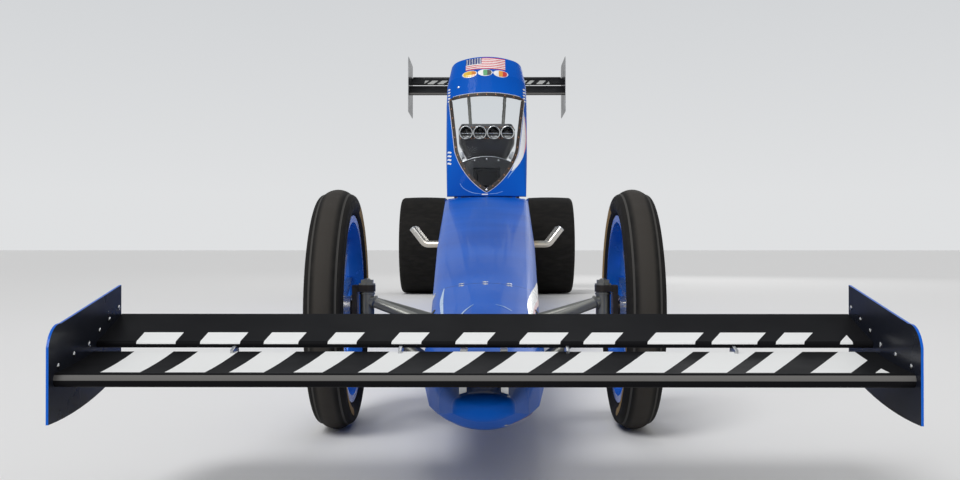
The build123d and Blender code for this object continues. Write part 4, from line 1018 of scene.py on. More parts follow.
# finish, and rows of x, station and half width, carried down onto the nose or up onto the belly
bodyStripesAndReflections = {
    "noseStripeRight": ("whiteFilm", (0.104, -0.16, 0.003), (0.112, 0.06, 0.008), (0.128, 0.26, 0.009),
                        (0.146, 0.48, 0.006), (0.156, 0.68, 0.001)),
    "noseStripeRose": ("roseFilm", (0.112, -0.10, 0.001), (0.124, 0.08, 0.0025), (0.1405, 0.28, 0.0025),
                       (0.153, 0.48, 0.001)),
    "noseStripeLeft": ("skyFilm", (-0.092, -0.22, 0.001), (-0.102, -0.04, 0.0035), (-0.110, 0.14, 0.004),
                       (-0.112, 0.34, 0.001)),
    # painted reflection: two thin light-blue arcs curving in towards the middle of the nose stand in for a
    # reflected hoop of light
    "nosePinstripeLeft": ("skyFilm", (-0.060, -0.44, 0.0012), (-0.062, -0.30, 0.0016),
                          (-0.050, -0.14, 0.0020), (-0.028, -0.03, 0.0014)),
    "nosePinstripeRight": ("skyFilm", (0.062, -0.10, 0.0012), (0.044, -0.05, 0.0018),
                           (0.026, -0.03, 0.0014)),
    "bellyStripeRight": ("whiteFilm", (0.108, -0.34, 0.002), (0.092, -0.48, 0.007), (0.066, -0.64, 0.007),
                         (0.036, -0.79, 0.002)),
    "bellyStripeRose": ("roseFilm", (0.118, -0.36, 0.001), (0.104, -0.48, 0.002), (0.078, -0.64, 0.002),
                        (0.050, -0.77, 0.001)),
    "bellyDashA": ("whiteFilm", (-0.106, -0.40, 0.005), (-0.098, -0.46, 0.005)),
    "bellyDashB": ("whiteFilm", (-0.088, -0.53, 0.005), (-0.078, -0.59, 0.005)),
    "bellyDashC": ("whiteFilm", (-0.066, -0.65, 0.004), (-0.054, -0.71, 0.004)),
}
for name, (finish, *rows) in bodyStripesAndReflections.items():
    aim = upward if name.startswith("belly") else downward
    filmBm = bmesh.new()
    band(filmBm, bodySkin, rows, aim, lambda x, station: spot(x, station, -0.9 * aim.z), 44, 0.0011, 6)
    addPiece(name, filmBm, finish)

print("body seams, fasteners and stripes done")


# Front wheels, hubs and steering

frontHub = {
    "flangeX": 0.3585,
    "flange": [(0.030, 0.0), (0.030, 0.007), (0.049, 0.0055), (0.055, 0.0035), (0.055, 0.0)],
    "cap": [(0.0125, 0.0265), (0.0305, 0.0265), (0.034, 0.022), (0.034, 0.017), (0.0302, 0.015)],
    "boltRing": 0.044,
    "spokes": 10,
    "beadX": 0.387,
    "beadRing": 0.219,
    "beadBolts": 20,
    "valve": (0.366, 0.2045, 0.31),   # x, radius and turn
    "pinX": 0.284,
    "pinTopZ": 0.3425,
    "armBack": 0.110,
    "earX": 0.3178,
}
pinX = frontHub["pinX"]

for side, hand in ((1, "left"), (-1, "right")):
    out = across * side
    wheel = f"{hand}_front_wheel"
    face = spot(side * frontHub["flangeX"], 0, frontAxle.z)
    hubBm, beadBm, steel = bmesh.new(), bmesh.new(), bmesh.new()
    lathe(hubBm, frontHub["flange"], face, out, 40, closed=True)
    lathe(hubBm, frontHub["cap"], face, out, 32)
    boltRing(hubBm, face + out * 0.005, "X", frontHub["boltRing"], frontHub["spokes"], out, 0.0042, 0.0045)
    addPiece(f"frontHub{hand.title()}", hubBm, "brightAluminium", wheel)
    boltRing(beadBm, spot(side * frontHub["beadX"], 0, frontAxle.z), "X", frontHub["beadRing"],
             frontHub["beadBolts"], out, 0.0030, 0.0036, 0.5)
    valveX, valveR, turn = frontHub["valve"]
    spoke = Vector((0, sin(turn), cos(turn)))
    stem = spot(side * valveX, 0, frontAxle.z) + spoke * valveR
    inward = (out * 0.35 - spoke).normalized()
    stub(beadBm, stem, inward * 0.024, 0.0034, 14)
    stub(beadBm, stem + inward * 0.024, inward * 0.010, 0.0044, 12, 0.0040)
    addPiece(f"frontBeadBolts{hand.title()}", beadBm, "copperBolt", wheel)
    pin = spot(side * pinX, 0, frontHub["pinTopZ"])
    stub(steel, pin, upward * 0.004, 0.0195, 28)
    stub(steel, pin + upward * 0.004, upward * 0.0085, 0.0165)
    dome(steel, pin + upward * 0.0125, upward, 0.0085, 0.004)
    stub(steel, spot(side * pinX, frontHub["armBack"], 0.1845), upward * 0.0048, 0.0105)
    for z in (0.245, 0.315):
        for off in (-0.013, 0.013):
            bolt(steel, spot(side * frontHub["earX"], off, z), out, 0.0044, 0.0040)
    stub(steel, spot(side * pinX, frontHub["armBack"], 0.222), upward * 0.007, 0.0115)
    addPiece(f"knuckleBolts{hand.title()}", steel, "bareSteel", f"{hand}_knuckle")

linkNuts = bmesh.new()
link = middleOf("tie_rod")
for side in (1, -1):
    near, out = Vector((side * 0.2535, link.y, link.z)), across * side
    stub(linkNuts, near, out * 0.009, 0.0105)
    stub(linkNuts, near - out * 0.034, out * 0.032, 0.0088)
addPiece("tieRodNuts", linkNuts, "machinedAluminium", "steering_link")


def skinRing(bm, tree, start, run, inner, outer, lift, thick):
    # a flat ring lying on the skin where a tube goes through it, felt for outside the hole
    loops, verts = [], []
    turn = run.to_track_quat("Z", "Y").to_matrix()
    for radius, probe in ((inner, max(inner, 0.0145)), (outer, outer)):
        made = bmesh.ops.create_circle(bm, cap_ends=False, segments=28, radius=radius)["verts"]
        for vert in made:
            flat = turn @ vert.co
            landed, normal = drop(tree, start + flat * (probe / radius), run, lift)
            vert.co = landed - flat * (probe / radius - 1) if landed else start + flat
        verts += made
        loops += linked(made, "link_edges")
    bmesh.ops.bridge_loops(bm, edges=loops)
    faces = linked(verts, "link_faces")
    bmesh.ops.recalc_face_normals(bm, faces=faces)
    if faces[0].normal.dot(run) > 0:
        bmesh.ops.reverse_faces(bm, faces=faces)
    bmesh.ops.solidify(bm, geom=faces, thickness=thick)


armTrim = {
    "endX": 0.2755,
    # height at the knuckle, x at the frame, and the heights there of the rear and the front arm
    "arms": ((0.304, 0.084, (0.246, 0.235)), (0.258, 0.080, (0.1165, 0.1165))),
    "spread": 0.060,
    "ringShare": 0.25,
    "weld": [(0.0115, 0.0), (0.0155, 0.001), (0.0160, 0.005), (0.0119, 0.008)],
    "sleeveWeld": [(0.0168, -0.003), (0.0190, -0.002), (0.0190, 0.002), (0.0168, 0.003)],
}
grommets, welds = bmesh.new(), bmesh.new()
for side in (1, -1):
    for startZ, footX, footHeights in armTrim["arms"]:
        for footZ, off in zip(footHeights, (armTrim["spread"], -armTrim["spread"])):
            start = spot(side * armTrim["endX"], off * 0.1, startZ)
            end = spot(side * footX, off, footZ)
            run = (end - start).normalized()
            middle = start + (end - start) * armTrim["ringShare"]
            skinRing(grommets, bodySkin, middle, run, 0.0124, 0.0205, 0.0022, 0.0026)
            lathe(welds, armTrim["weld"], start + run * 0.0065, run, 20)
    for z in (0.226, 0.322):
        lathe(welds, armTrim["sleeveWeld"], spot(side * pinX, 0, z), upward, 24, closed=True)
addPiece("armGrommets", grommets, "hardRubber")
addPiece("armWelds", welds, "bareSteel")

print("front axle trim done")


# Front and rear wing fastenings

wingFittings = {
    "frontPlateX": (0.658, 0.654),       # outer and inner face
    "frontBolts": ((-0.938, 0.231), (-0.875, 0.243), (-0.810, 0.253), (-0.762, 0.272), (-0.715, 0.288),
                   (-0.668, 0.306)),
    "rearPlateX": 0.758,
    # station, height, run, rise, bolt size and the bolts' shares of the run
    "rearBolts": ((7.722, 1.914, 0.268, 0.120, 0.0062, (0.14, 0.38, 0.62, 0.86)),
                  (8.004, 2.050, 0.222, 0.098, 0.0058, (0.16, 0.5, 0.84))),
    # x of each, then station, height, size, rounding and tilt
    "brackets": (
        ((-0.42, -0.14, 0.14, 0.42), -0.779, 0.2585, (0.006, 0.040, 0.016), 0.001, 14),
        ((-0.42, -0.14, 0.14, 0.42), 7.998, 2.036, (0.007, 0.070, 0.022), 0.001, 26),
        ((-0.182, 0.182), 7.806, 1.934, (0.050, 0.060, 0.008), 0.002, 24),
        ((-0.182, 0.182), 7.934, 1.990, (0.050, 0.050, 0.008), 0.002, 24),
    ),
    "lip": {"station": 8.2245, "z": 2.1525, "high": 0.014, "gauge": 0.003, "span": 1.492},
}
wingBolts, fittings, lipBm = bmesh.new(), bmesh.new(), bmesh.new()
for side in (1, -1):
    out = across * side
    outerX, innerX = wingFittings["frontPlateX"]
    for station, z in wingFittings["frontBolts"]:
        dome(wingBolts, spot(side * outerX, station, z), out, 0.0065, 0.0022, 14)
        dome(wingBolts, spot(side * innerX, station, z + 0.019), -out, 0.0045, 0.0018, 12)
    for station, z, run, rise, size, shares in wingFittings["rearBolts"]:
        for share in shares:
            place = spot(side * wingFittings["rearPlateX"], station + run * share, z + rise * share)
            bolt(wingBolts, place, out, size, 0.005)
addPiece("wingBolts", wingBolts, "brightAluminium")

for places, station, z, size, soften, tilt in wingFittings["brackets"]:
    for x in places:
        slab(fittings, spot(x, station, z), size, soften, (tilt, 0, 0))
addPiece("wingBrackets", fittings, "machinedAluminium")
lip = wingFittings["lip"]
slab(lipBm, spot(0, lip["station"], lip["z"]), (lip["span"], lip["gauge"], lip["high"]), 0.0008)
slab(lipBm, spot(0, lip["station"] - 0.007, lip["z"] - 0.006), (lip["span"], 0.014, 0.0025), 0.0008,
     (24, 0, 0))
addPiece("wingLip", lipBm, "blackComposite")

print("wing fittings done")


# Engine: throats, fuel lines, ignition, bolts and header collars

engine = {
    "crankZ": 0.400,
    "cylinders": (6.282, 6.414, 6.546, 6.678),
    "throatX": (-0.1719, -0.0573, 0.0573, 0.1719),
    "throatStation": 6.256,
    "throatZ": 1.386,
    "mouth": [(0.0542, -0.013), (0.0568, -0.012), (0.0572, -0.003), (0.0555, 0.002), (0.0520, 0.004),
              (0.0488, 0.002), (0.0478, -0.004), (0.0478, -0.014)],
    "throatBoltRing": 0.0645,
    "butterfly": [(0.0, 0.0030), (0.0440, 0.0030), (0.0472, 0.0), (0.0440, -0.0030), (0.0, -0.0030)],
    "butterflyStation": 6.322,
    "butterflyTilt": 62.0,
    # x, station, height, size, rounding and tilt of the blocks, then the joint line between them
    "fuelBlocks": ((0.149, 6.455, 1.103, (0.036, 0.200, 0.038), 0.004, 12),
                   (0.205, 6.350, 1.205, (0.030, 0.060, 0.060), 0.005, 20)),
    "jointLine": ((0.205, 6.376, 1.180), (0.214, 6.400, 1.140), (0.190, 6.42, 1.110), (0.166, 6.425, 1.104)),
    "fuelLineR": 0.0048,
    "fuelFirst": 6.385,
    "fuelPitch": 0.046,
    "leadR": 0.0038,
    # distance up the bank and outside it, and the stations, of the loom
    "loom": ((0.384, 0.098, (6.225, 6.48, 6.735)), (0.392, 0.092, (6.215, 6.46, 6.70))),
    "coverCap": [(0.0, 0.020), (0.018, 0.020), (0.022, 0.017), (0.022, 0.005), (0.026, 0.002),
                 (0.026, -0.002)],
    "boot": [(0.0085, -0.004), (0.0095, 0.006), (0.0080, 0.012), (0.0080, 0.040), (0.0062, 0.048),
             (0.0, 0.050)],
    "bankAt": 0.288,      # distance up the bank of the header ports
    "pipeTipAt": (0.6179, 0.066, 0.5971),
    "collar": [(0.0283, -0.005), (0.0308, -0.003), (0.0312, 0.002), (0.0283, 0.006)],
    "pipeTip": [(0.0282, -0.010), (0.0296, -0.009), (0.0302, 0.0), (0.0290, 0.0014), (0.0262, 0.0010),
                (0.0258, -0.004)],
}


def bankSpot(side, along, aside, station):
    # along the bank's line up from the crank, and across it towards the outside
    right, rise = (along + aside) * sqrt(0.5), (along - aside) * sqrt(0.5)
    return spot(side * right, station, engine["crankZ"] + rise)


rings, ringBolts = bmesh.new(), bmesh.new()
tilt = radians(engine["butterflyTilt"])
facing = Vector((0, -sin(tilt), cos(tilt)))
for x in engine["throatX"]:
    mouth = spot(x, engine["throatStation"], engine["throatZ"])
    lathe(rings, engine["mouth"], mouth, forward, 48, closed=True)
    flap = spot(x, engine["butterflyStation"], engine["throatZ"])
    lathe(rings, engine["butterfly"], flap, facing, 40)
    bar(rings, flap - across * 0.046, flap + across * 0.046, 0.0066, 16)
    for off in (-0.016, 0.016):
        dome(ringBolts, flap + across * off + facing * 0.0062, facing, 0.0030, 0.0018, 10)
    boltRing(ringBolts, mouth + backward * 0.0125, "Y", engine["throatBoltRing"], 4, forward, 0.0042, 0.006,
             0.5)
addPiece("throatRings", rings, "brightAluminium")
addPiece("throatBolts", ringBolts, "copperBolt")

fuelBlocks = bmesh.new()
fuelRoutes = []
for side in (1, -1):
    for x, station, z, size, soften, tilt in engine["fuelBlocks"]:
        slab(fuelBlocks, spot(side * x, station, z), size, soften, (0, side * tilt, 0))
    fuelRoutes.append([spot(side * x, station, z) for x, station, z in engine["jointLine"]])
    for number, station in enumerate(engine["cylinders"]):
        leave = engine["fuelFirst"] + engine["fuelPitch"] * number
        port = bankSpot(side, 0.300, -0.0825, station)
        knots = ((0.166, leave, 1.098), (0.181, leave, 1.060), (0.172, leave * 0.6 + station * 0.4, 0.930),
                 (0.164, station, 0.790))
        fuelRoutes.append([*(spot(side * x, along, z) for x, along, z in knots),
                           port + Vector((-side * 0.004, 0, 0.026)), port])
        bar(fuelBlocks, spot(side * 0.160, leave, 1.101), spot(side * 0.172, leave, 1.086), 0.0082, 6)
        stub(fuelBlocks, port, Vector((-side * 0.006, 0, 0.016)), 0.0085)
addPiece("fuelBlocks", fuelBlocks, "machinedAluminium")
pipes("fuelLines", fuelRoutes, engine["fuelLineR"], "brightAluminium")

coverTrim, boots, flanges = bmesh.new(), bmesh.new(), bmesh.new()
leadRoutes = []
for side in (1, -1):
    up = Vector((side, 0, 1)).normalized()
    away = Vector((side, 0, -1)).normalized()
    outward = Vector((side, 0, 0.12)).normalized()
    tipAim = Vector((side * 0.106, 0.044, 0.134)).normalized()
    for row in (-0.036, 0.036):
        for number in range(6):
            bolt(coverTrim, bankSpot(side, 0.4190, row, 6.238 + 0.0968 * number), up, 0.0055, 0.007)
    for row in (-0.018, 0.0, 0.018):
        slab(coverTrim, bankSpot(side, 0.4205, row, 6.480), (0.006, 0.500, 0.005), 0.0015, (0, side * 45, 0))
    lathe(coverTrim, engine["coverCap"], bankSpot(side, 0.418, 0.0, 6.330), up, 28)
    for station in engine["cylinders"]:
        for off in (-0.040, 0.040):
            foot = bankSpot(side, 0.326, 0.081, station + off)
            lathe(boots, engine["boot"], foot, outward, 18)
            end = foot + outward * 0.048
            leadRoutes.append([end, end + Vector((side * 0.012, 0, 0.004)),
                               end + Vector((side * 0.016, 0.006, 0.016)),
                               bankSpot(side, 0.384, 0.098, station + off + 0.012)])
        bankAt = engine["bankAt"]
        middle = bankSpot(side, bankAt, 0.0855, station)
        slab(flanges, middle, (0.070, 0.104, 0.006), 0.0018, (0, side * 135, 0))
        for off in (-0.042, 0.042):
            bolt(flanges, bankSpot(side, bankAt, 0.0885, station + off), away, 0.0062, 0.008)
        for off in (-0.026, 0.026):
            bolt(flanges, bankSpot(side, bankAt + off, 0.0885, station + off * 1.4), away, 0.0045, 0.006)
        lathe(flanges, engine["collar"], bankSpot(side, bankAt, 0.094, station), away, 28, closed=True)
        x, behind, z = engine["pipeTipAt"]
        lathe(flanges, engine["pipeTip"], spot(side * x, station + behind, z) - tipAim * 0.001, tipAim, 32)
    for along, aside, stations in engine["loom"]:
        leadRoutes.append([bankSpot(side, along, aside, station) for station in stations])
addPiece("coverBolts", coverTrim, "machinedAluminium")
addPiece("plugBoots", boots, "hardRubber")
pipes("plugLeads", leadRoutes, engine["leadR"], "skyFilm")
addPiece("headerFlanges", flanges, "machinedAluminium")

print("engine plumbing and ignition done")


# Magnetos, pulleys, the blower's bolts, clutch can and axle case

drive = {
    "magnetoX": 0.128,
    "magnetoZ": 0.520,
    "magneto": [(0.0, 0.0), (0.024, 0.0), (0.030, 0.006), (0.030, 0.020), (0.041, 0.026), (0.042, 0.074),
                (0.036, 0.080), (0.0, 0.082)],
    "magnetoCap": [(0.0, 0.1135), (0.022, 0.1135), (0.034, 0.108), (0.040, 0.096), (0.0405, 0.079),
                   (0.0, 0.079)],
    "pulleyFace": 6.088,
    "topZ": 0.925,
    "caseFront": 6.262,
    "caseCollar": [(0.0485, 0.0), (0.0700, 0.0), (0.0700, 0.006), (0.0660, 0.009), (0.0485, 0.010)],
    "caseRear": 6.800,
    "rotorHub": [(0.0, 0.013), (0.020, 0.013), (0.022, 0.016), (0.034, 0.016), (0.036, 0.010), (0.048, 0.010),
                 (0.050, 0.008), (0.050, 0.0)],
    "canFace": 6.7668,
    "canRim": [(0.1850, 0.0), (0.1960, 0.0), (0.1960, 0.009), (0.1900, 0.012), (0.1840, 0.012)],
    "axleCollar": [(0.0552, 0.0), (0.0720, 0.0), (0.0700, 0.010), (0.0600, 0.016), (0.0552, 0.016)],
}

ignition, caps, blowerTrim, canTrim = bmesh.new(), bmesh.new(), bmesh.new(), bmesh.new()
for side in (1, -1):
    foot = spot(side * drive["magnetoX"], 6.150, drive["magnetoZ"])
    lean = Vector((side * 0.10, -0.05, 1.0)).normalized()
    lathe(ignition, drive["magneto"], foot, lean, 32)
    lathe(caps, drive["magnetoCap"], foot, lean, 32)
    for tower in around(foot + lean * 0.106, "Z", 0.022, 8):
        stub(caps, tower, lean * 0.017, 0.0052, 12, 0.0046)
    slab(ignition, foot + Vector((0, 0.022, 0.012)), (0.050, 0.060, 0.014), 0.003)
    for off in (-0.017, 0.017):
        bolt(ignition, foot + Vector((off, 0.030, 0.019)), upward, 0.005, 0.006)
addPiece("magnetos", ignition, "machinedAluminium")
addPiece("magnetoCaps", caps, "hardRubber")

for z, ring in ((drive["topZ"], 0.050), (engine["crankZ"], 0.040)):
    face = spot(0, drive["pulleyFace"], z)
    disc = [(0.0, 0.0), (ring + 0.012, 0.0), (ring + 0.010, 0.004), (0.026, 0.006), (0.024, 0.012),
            (0.0, 0.013)]
    lathe(blowerTrim, disc, face, forward, 36)
    stub(blowerTrim, face + forward * 0.012, forward * 0.010, 0.014)
    boltRing(blowerTrim, face + forward * 0.004, "Y", ring, 6, forward, 0.0052, 0.006)
collar = spot(0, drive["caseFront"], drive["topZ"])
lathe(blowerTrim, drive["caseCollar"], collar, forward, 40)
boltRing(blowerTrim, collar + forward * 0.009, "Y", 0.059, 8, forward, 0.0046, 0.006, 0.5)
for x in (-0.056, 0.056):
    hub = spot(x, drive["caseRear"], drive["topZ"])
    lathe(blowerTrim, drive["rotorHub"], hub, backward, 32)
    boltRing(blowerTrim, hub + backward * 0.010, "Y", 0.043, 6, backward, 0.0042, 0.006)
for side in (1, -1):
    slab(blowerTrim, spot(side * 0.118, 6.531, 0.8065), (0.046, 0.530, 0.013), 0.002)
    for number in range(9):
        bolt(blowerTrim, spot(side * 0.129, 6.291 + 0.060 * number, 0.812), upward, 0.0048, 0.008)
        bolt(blowerTrim, spot(side * 0.1335, 6.295 + 0.060 * number, 1.022), across * side, 0.0040, 0.005)
    for number in range(4):
        bolt(blowerTrim, spot(side * 0.118, 6.350 + 0.080 * number, 1.0695), upward, 0.0055, 0.008)
addPiece("blowerBolts", blowerTrim, "machinedAluminium")

canFace = spot(0, drive["canFace"], engine["crankZ"])
lathe(canTrim, drive["canRim"], canFace, backward, 72, closed=True)
boltRing(canTrim, canFace + backward * 0.011, "Y", 0.1895, 24, backward, 0.0052, 0.007)
axle = Vector((0, rearAxle.y, rearAxle.z))
for side in (1, -1):
    out = across * side
    boltRing(canTrim, axle + out * 0.1148, "X", 0.136, 14, out, 0.0065, 0.009, 0.5)
    lathe(canTrim, drive["axleCollar"], axle + out * 0.1145, out, 36, closed=True)
addPiece("canAndCaseBolts", canTrim, "machinedAluminium")

print("magnetos, blower and clutch trim done")


# Rear wheels and wheelie bar wheels

rearHub = {
    "faceX": 0.514,
    "lugRing": 0.084,
    "lugs": 5,
    "lug": [(0.0, 0.024), (0.006, 0.024), (0.007, 0.020), (0.0125, 0.019), (0.0130, 0.004),
            (0.018, 0.002), (0.018, -0.001)],
    "hubX": 0.548,
    "cap": [(0.0, 0.014), (0.020, 0.013), (0.030, 0.009), (0.046, 0.007), (0.050, 0.0)],
    "beadX": 0.793,
    "beadRing": 0.2062,
    "beadBolts": 24,
    "bead": [(0.1995, -0.001), (0.1995, 0.003), (0.2010, 0.0045), (0.2115, 0.0045), (0.2130, 0.003),
             (0.2130, -0.001)],
    # x, which way it faces and profile of the outer and inner caps of the wheelie bar's wheels
    "wheelie": ((0.188, 1, [(0.0, 0.0045), (0.014, 0.0045), (0.018, 0.003), (0.034, 0.0015),
                            (0.036, -0.001)]),
                (0.156, -1, [(0.0085, 0.003), (0.016, 0.003), (0.034, 0.0012), (0.036, -0.001)])),
}
rearTrim, wheelieHub = bmesh.new(), bmesh.new()
for side in (1, -1):
    out = across * side
    for place in around(axle + out * rearHub["faceX"], "X", rearHub["lugRing"], rearHub["lugs"]):
        lathe(rearTrim, rearHub["lug"], place, out, 18)
    lathe(rearTrim, rearHub["cap"], axle + out * rearHub["hubX"], out, 36)
    lathe(rearTrim, rearHub["bead"], axle + out * rearHub["beadX"], out, 96, closed=True)
    beadFace = axle + out * (rearHub["beadX"] + 0.004)
    boltRing(rearTrim, beadFace, "X", rearHub["beadRing"], rearHub["beadBolts"], out, 0.0050, 0.006)
addPiece("rearWheelTrim", rearTrim, "brightAluminium", "rear_wheel_set")

wheelie = middleOf("wheelie_wheels")
for side in (1, -1):
    for x, way, profile in rearHub["wheelie"]:
        lathe(wheelieHub, profile, Vector((side * x, wheelie.y, wheelie.z)), across * side * way, 32)
addPiece("wheelieHubs", wheelieHub, "machinedAluminium", "wheelie_wheel_set")

print("rear wheel trim done")


# Weld beads at the frame's cross tubes, and sleeves of foam round the bars beside the driver

cageTrim = {
    # station and height of the cross tubes
    "lowerTubes": ((-0.250, 0.1143), (0.620, 0.1199), (1.900, 0.1279), (3.400, 0.1390), (4.800, 0.1495),
                   (5.300, 0.1507), (5.400, 0.1509), (5.600, 0.1512), (6.150, 0.1520), (6.940, 0.1520)),
    "upperTubes": ((-0.250, 0.2183), (0.620, 0.3014), (1.900, 0.4280), (3.400, 0.5604), (4.800, 0.6838),
                   (7.330, 0.5109), (7.800, 0.5780), (8.090, 0.5973)),
    "bead": [(0.0108, -0.006), (0.0135, -0.0050), (0.0150, -0.0015), (0.0165, 0.0025), (0.0108, 0.0035)],
    "foamShare": 0.56,
    "topFoam": [(0.0193, -0.100), (0.0235, -0.099), (0.0250, -0.096), (0.0250, 0.096), (0.0235, 0.099),
                (0.0193, 0.100)],
    "hoop": (5.8545, 0.86),   # station and height of the surround's centre
}
frameSkin = skinOf("frame_rails")
beads = bmesh.new()
for station, z in cageTrim["lowerTubes"] + cageTrim["upperTubes"]:
    for side in (1, -1):
        end, normal = drop(frameSkin, spot(0.0005 if station < 8 else 0.02 * side, station, z), across * side)
        if end and 0.03 < abs(end.x) < 0.26:
            lathe(beads, cageTrim["bead"], Vector((end.x, end.y, z)), across * side, 18, closed=True)
addPiece("frameWelds", beads, "bareSteel")

foam = bmesh.new()
for side in (1, -1):
    head, foot = spot(side * 0.188, 5.884, 0.985), spot(side * 0.226, 5.230, 0.722)
    run = foot - head
    long = run.length * cageTrim["foamShare"]
    sleeve = [(0.0163, 0.0), (0.0235, 0.001), (0.0255, 0.004), (0.0255, long - 0.004), (0.0235, long - 0.001),
              (0.0163, long)]
    lathe(foam, sleeve, head + run * 0.14, run, 28, closed=True)
lathe(foam, cageTrim["topFoam"], spot(0, 5.884, 1.118), across, 28, closed=True)
addPiece("cagePadding", foam, "beltRubber")

surroundSkin = skinOf("head_surround")


def hoopSpot(turn):
    # on the surround's edge, looked for from outside towards its centre, with the way out
    way = Vector((cos(radians(turn)), 0, sin(radians(turn))))
    place, normal = drop(surroundSkin, spot(0, *cageTrim["hoop"]) + way * 0.6, -way)
    return place, way


tried = [hoopSpot(204 * step / 40 - 12) for step in range(41)]
pipes("surroundEdge", [[place + way * 0.0004 for place, way in tried if place]], 0.0034, "brightAluminium")
surroundBolts = bmesh.new()
for number in range(7):
    place, way = hoopSpot(30 + 20 * number)
    inner = place - way * 0.020
    dome(surroundBolts, Vector((inner.x, frontAxle.y + 5.8500, inner.z)), forward, 0.0060, 0.0018)
addPiece("surroundBolts", surroundBolts, "brightAluminium")

print("welds and cage padding done")


# Soft pieces: swelled from a smaller shape by a short cloth run

softLook = {
    "pressure": 4.0,
    "frames": 20,
    "packX": 0.245,
    "packSmall": (0.150, 0.366, 0.146),
    "packCap": 0.014,
    "padCap": 0.010,
    "backTurn": 28.0,
    "strapWide": 0.025,
    "strapStations": (-0.115, 0.0, 0.115),
    "eyelets": ((-0.040, 0.045), (0.040, 0.045), (-0.040, -0.035), (0.040, -0.035)),
    "eyelet": [(0.0052, -0.001), (0.0062, 0.0018), (0.0085, 0.0018), (0.0102, 0.0), (0.0102, -0.001)],
}


def baked(piece):
    made = bpy.data.meshes.new_from_object(piece.evaluated_get(bpy.context.evaluated_depsgraph_get()))
    piece.modifiers.clear()
    return made


def swell(piece, cap, voxel):
    even = piece.modifiers.new("even", "REMESH")
    even.mode = "VOXEL"
    even.voxel_size = voxel
    plain = piece.data = baked(piece)
    plain.materials.clear()
    rest = [vert.co.copy() for vert in plain.vertices]
    cloth = piece.modifiers.new("swell", "CLOTH")
    cloth.settings.use_pressure = True
    cloth.settings.uniform_pressure_force = softLook["pressure"]
    cloth.settings.effector_weights.gravity = 0
    for step in range(softLook["frames"]):
        bpy.context.scene.frame_set(step + 1)
    puffed = baked(piece)
    bpy.context.scene.frame_set(1)
    for vert, start, end in zip(plain.vertices, rest, puffed.vertices):
        move = end.co - start
        vert.co = start + move * min(1.0, cap / max(move.length, 1e-6))


def softPiece(name, bm, finish, cap, voxel, replaces=(), floorZ=None):
    piece = addPiece(name, bm, finish, sharp=180.0, replaces=replaces)
    swell(piece, cap, voxel)
    piece.data.materials.append(finishes[finish])
    if floorZ is not None:
        for vert in piece.data.vertices:
            vert.co.z = max(vert.co.z, floorZ)
    piece.data.shade_smooth()
    smoother = piece.modifiers.new("smooth", "SUBSURF")
    smoother.levels = smoother.render_levels = 1
    return piece


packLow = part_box("parachute_packs")[0]
packMiddle = Vector((0, *middleOf("parachute_packs").yz))
packs = bmesh.new()
for side in (1, -1):
    middle = packMiddle + Vector((side * softLook["packX"], 0, -0.004))
    slab(packs, middle, softLook["packSmall"], 0.034, steps=4)
packPiece = softPiece("chutePacks", packs, "packCloth", softLook["packCap"], 0.008, ("parachute_packs",),
                      packLow.z + 0.0004)
packSkin = surfaceOf(packPiece.data)


def strap(bm, middle, wide, lengthwise, reach, arc, steps, lift):
    # a strap felt for from all round, with its width along one way and its length about it
    def way(v):
        turn = (v - 0.5) * radians(arc)
        return lengthwise * sin(turn) + upward * cos(turn)

    patch(bm, packSkin, lambda u, v: middle + way(v) * reach + wide * (u - 0.5) * softLook["strapWide"],
          lambda u, v: -way(v), 2, steps, lift, 0.0016)


webbing, eyelets = bmesh.new(), bmesh.new()
for side in (1, -1):
    middle = packMiddle + across * side * softLook["packX"]
    for off in softLook["strapStations"]:
        strap(webbing, middle + backward * off, backward, across, 0.4, 250, 40, 0.0014)
    strap(webbing, middle, across, backward, 0.5, 230, 50, 0.0030)
    for off in softLook["strapStations"]:
        place, normal = drop(packSkin, middle + Vector((0, off, 0.4)), downward, 0.005)
        slab(eyelets, place, (0.030, 0.030, 0.004), 0.0015, (0, 0, 45))
    for x, z in softLook["eyelets"]:
        place, normal = drop(packSkin, middle + Vector((x, 0.5, z)), forward, 0.0006)
        lathe(eyelets, softLook["eyelet"], place, normal, 20, closed=True)
addPiece("chuteStraps", webbing, "strapWeb")
addPiece("chuteFittings", eyelets, "brightAluminium")

seatSoft, backSoft, headSoft = bmesh.new(), bmesh.new(), bmesh.new()
slab(seatSoft, spot(0, 5.470, 0.2135), (0.296, 0.252, 0.040), 0.015, steps=3)
softPiece("seatCushion", seatSoft, "padCloth", softLook["padCap"], 0.006, floorZ=0.1885)
backTurn = softLook["backTurn"]
facing = Vector((0, -cos(radians(backTurn)), sin(radians(backTurn))))
backMiddle = spot(0, 5.694, 0.4105) + facing * 0.0370 + Vector((0, 0.010, 0.020))
slab(backSoft, backMiddle, (0.286, 0.034, 0.440), 0.014, (-backTurn, 0, 0), 3)
softPiece("backCushion", backSoft, "padCloth", softLook["padCap"], 0.006)
slab(headSoft, spot(0, 5.826, 0.976), (0.150, 0.022, 0.132), 0.009, steps=3)
for side in (1, -1):
    slab(headSoft, spot(side * 0.087, 5.811, 0.976), (0.024, 0.046, 0.132), 0.009, steps=3)
softPiece("headPads", headSoft, "padCloth", 0.005, 0.004)

print("soft pieces done")


# Harness, buckle, steering grips and switches

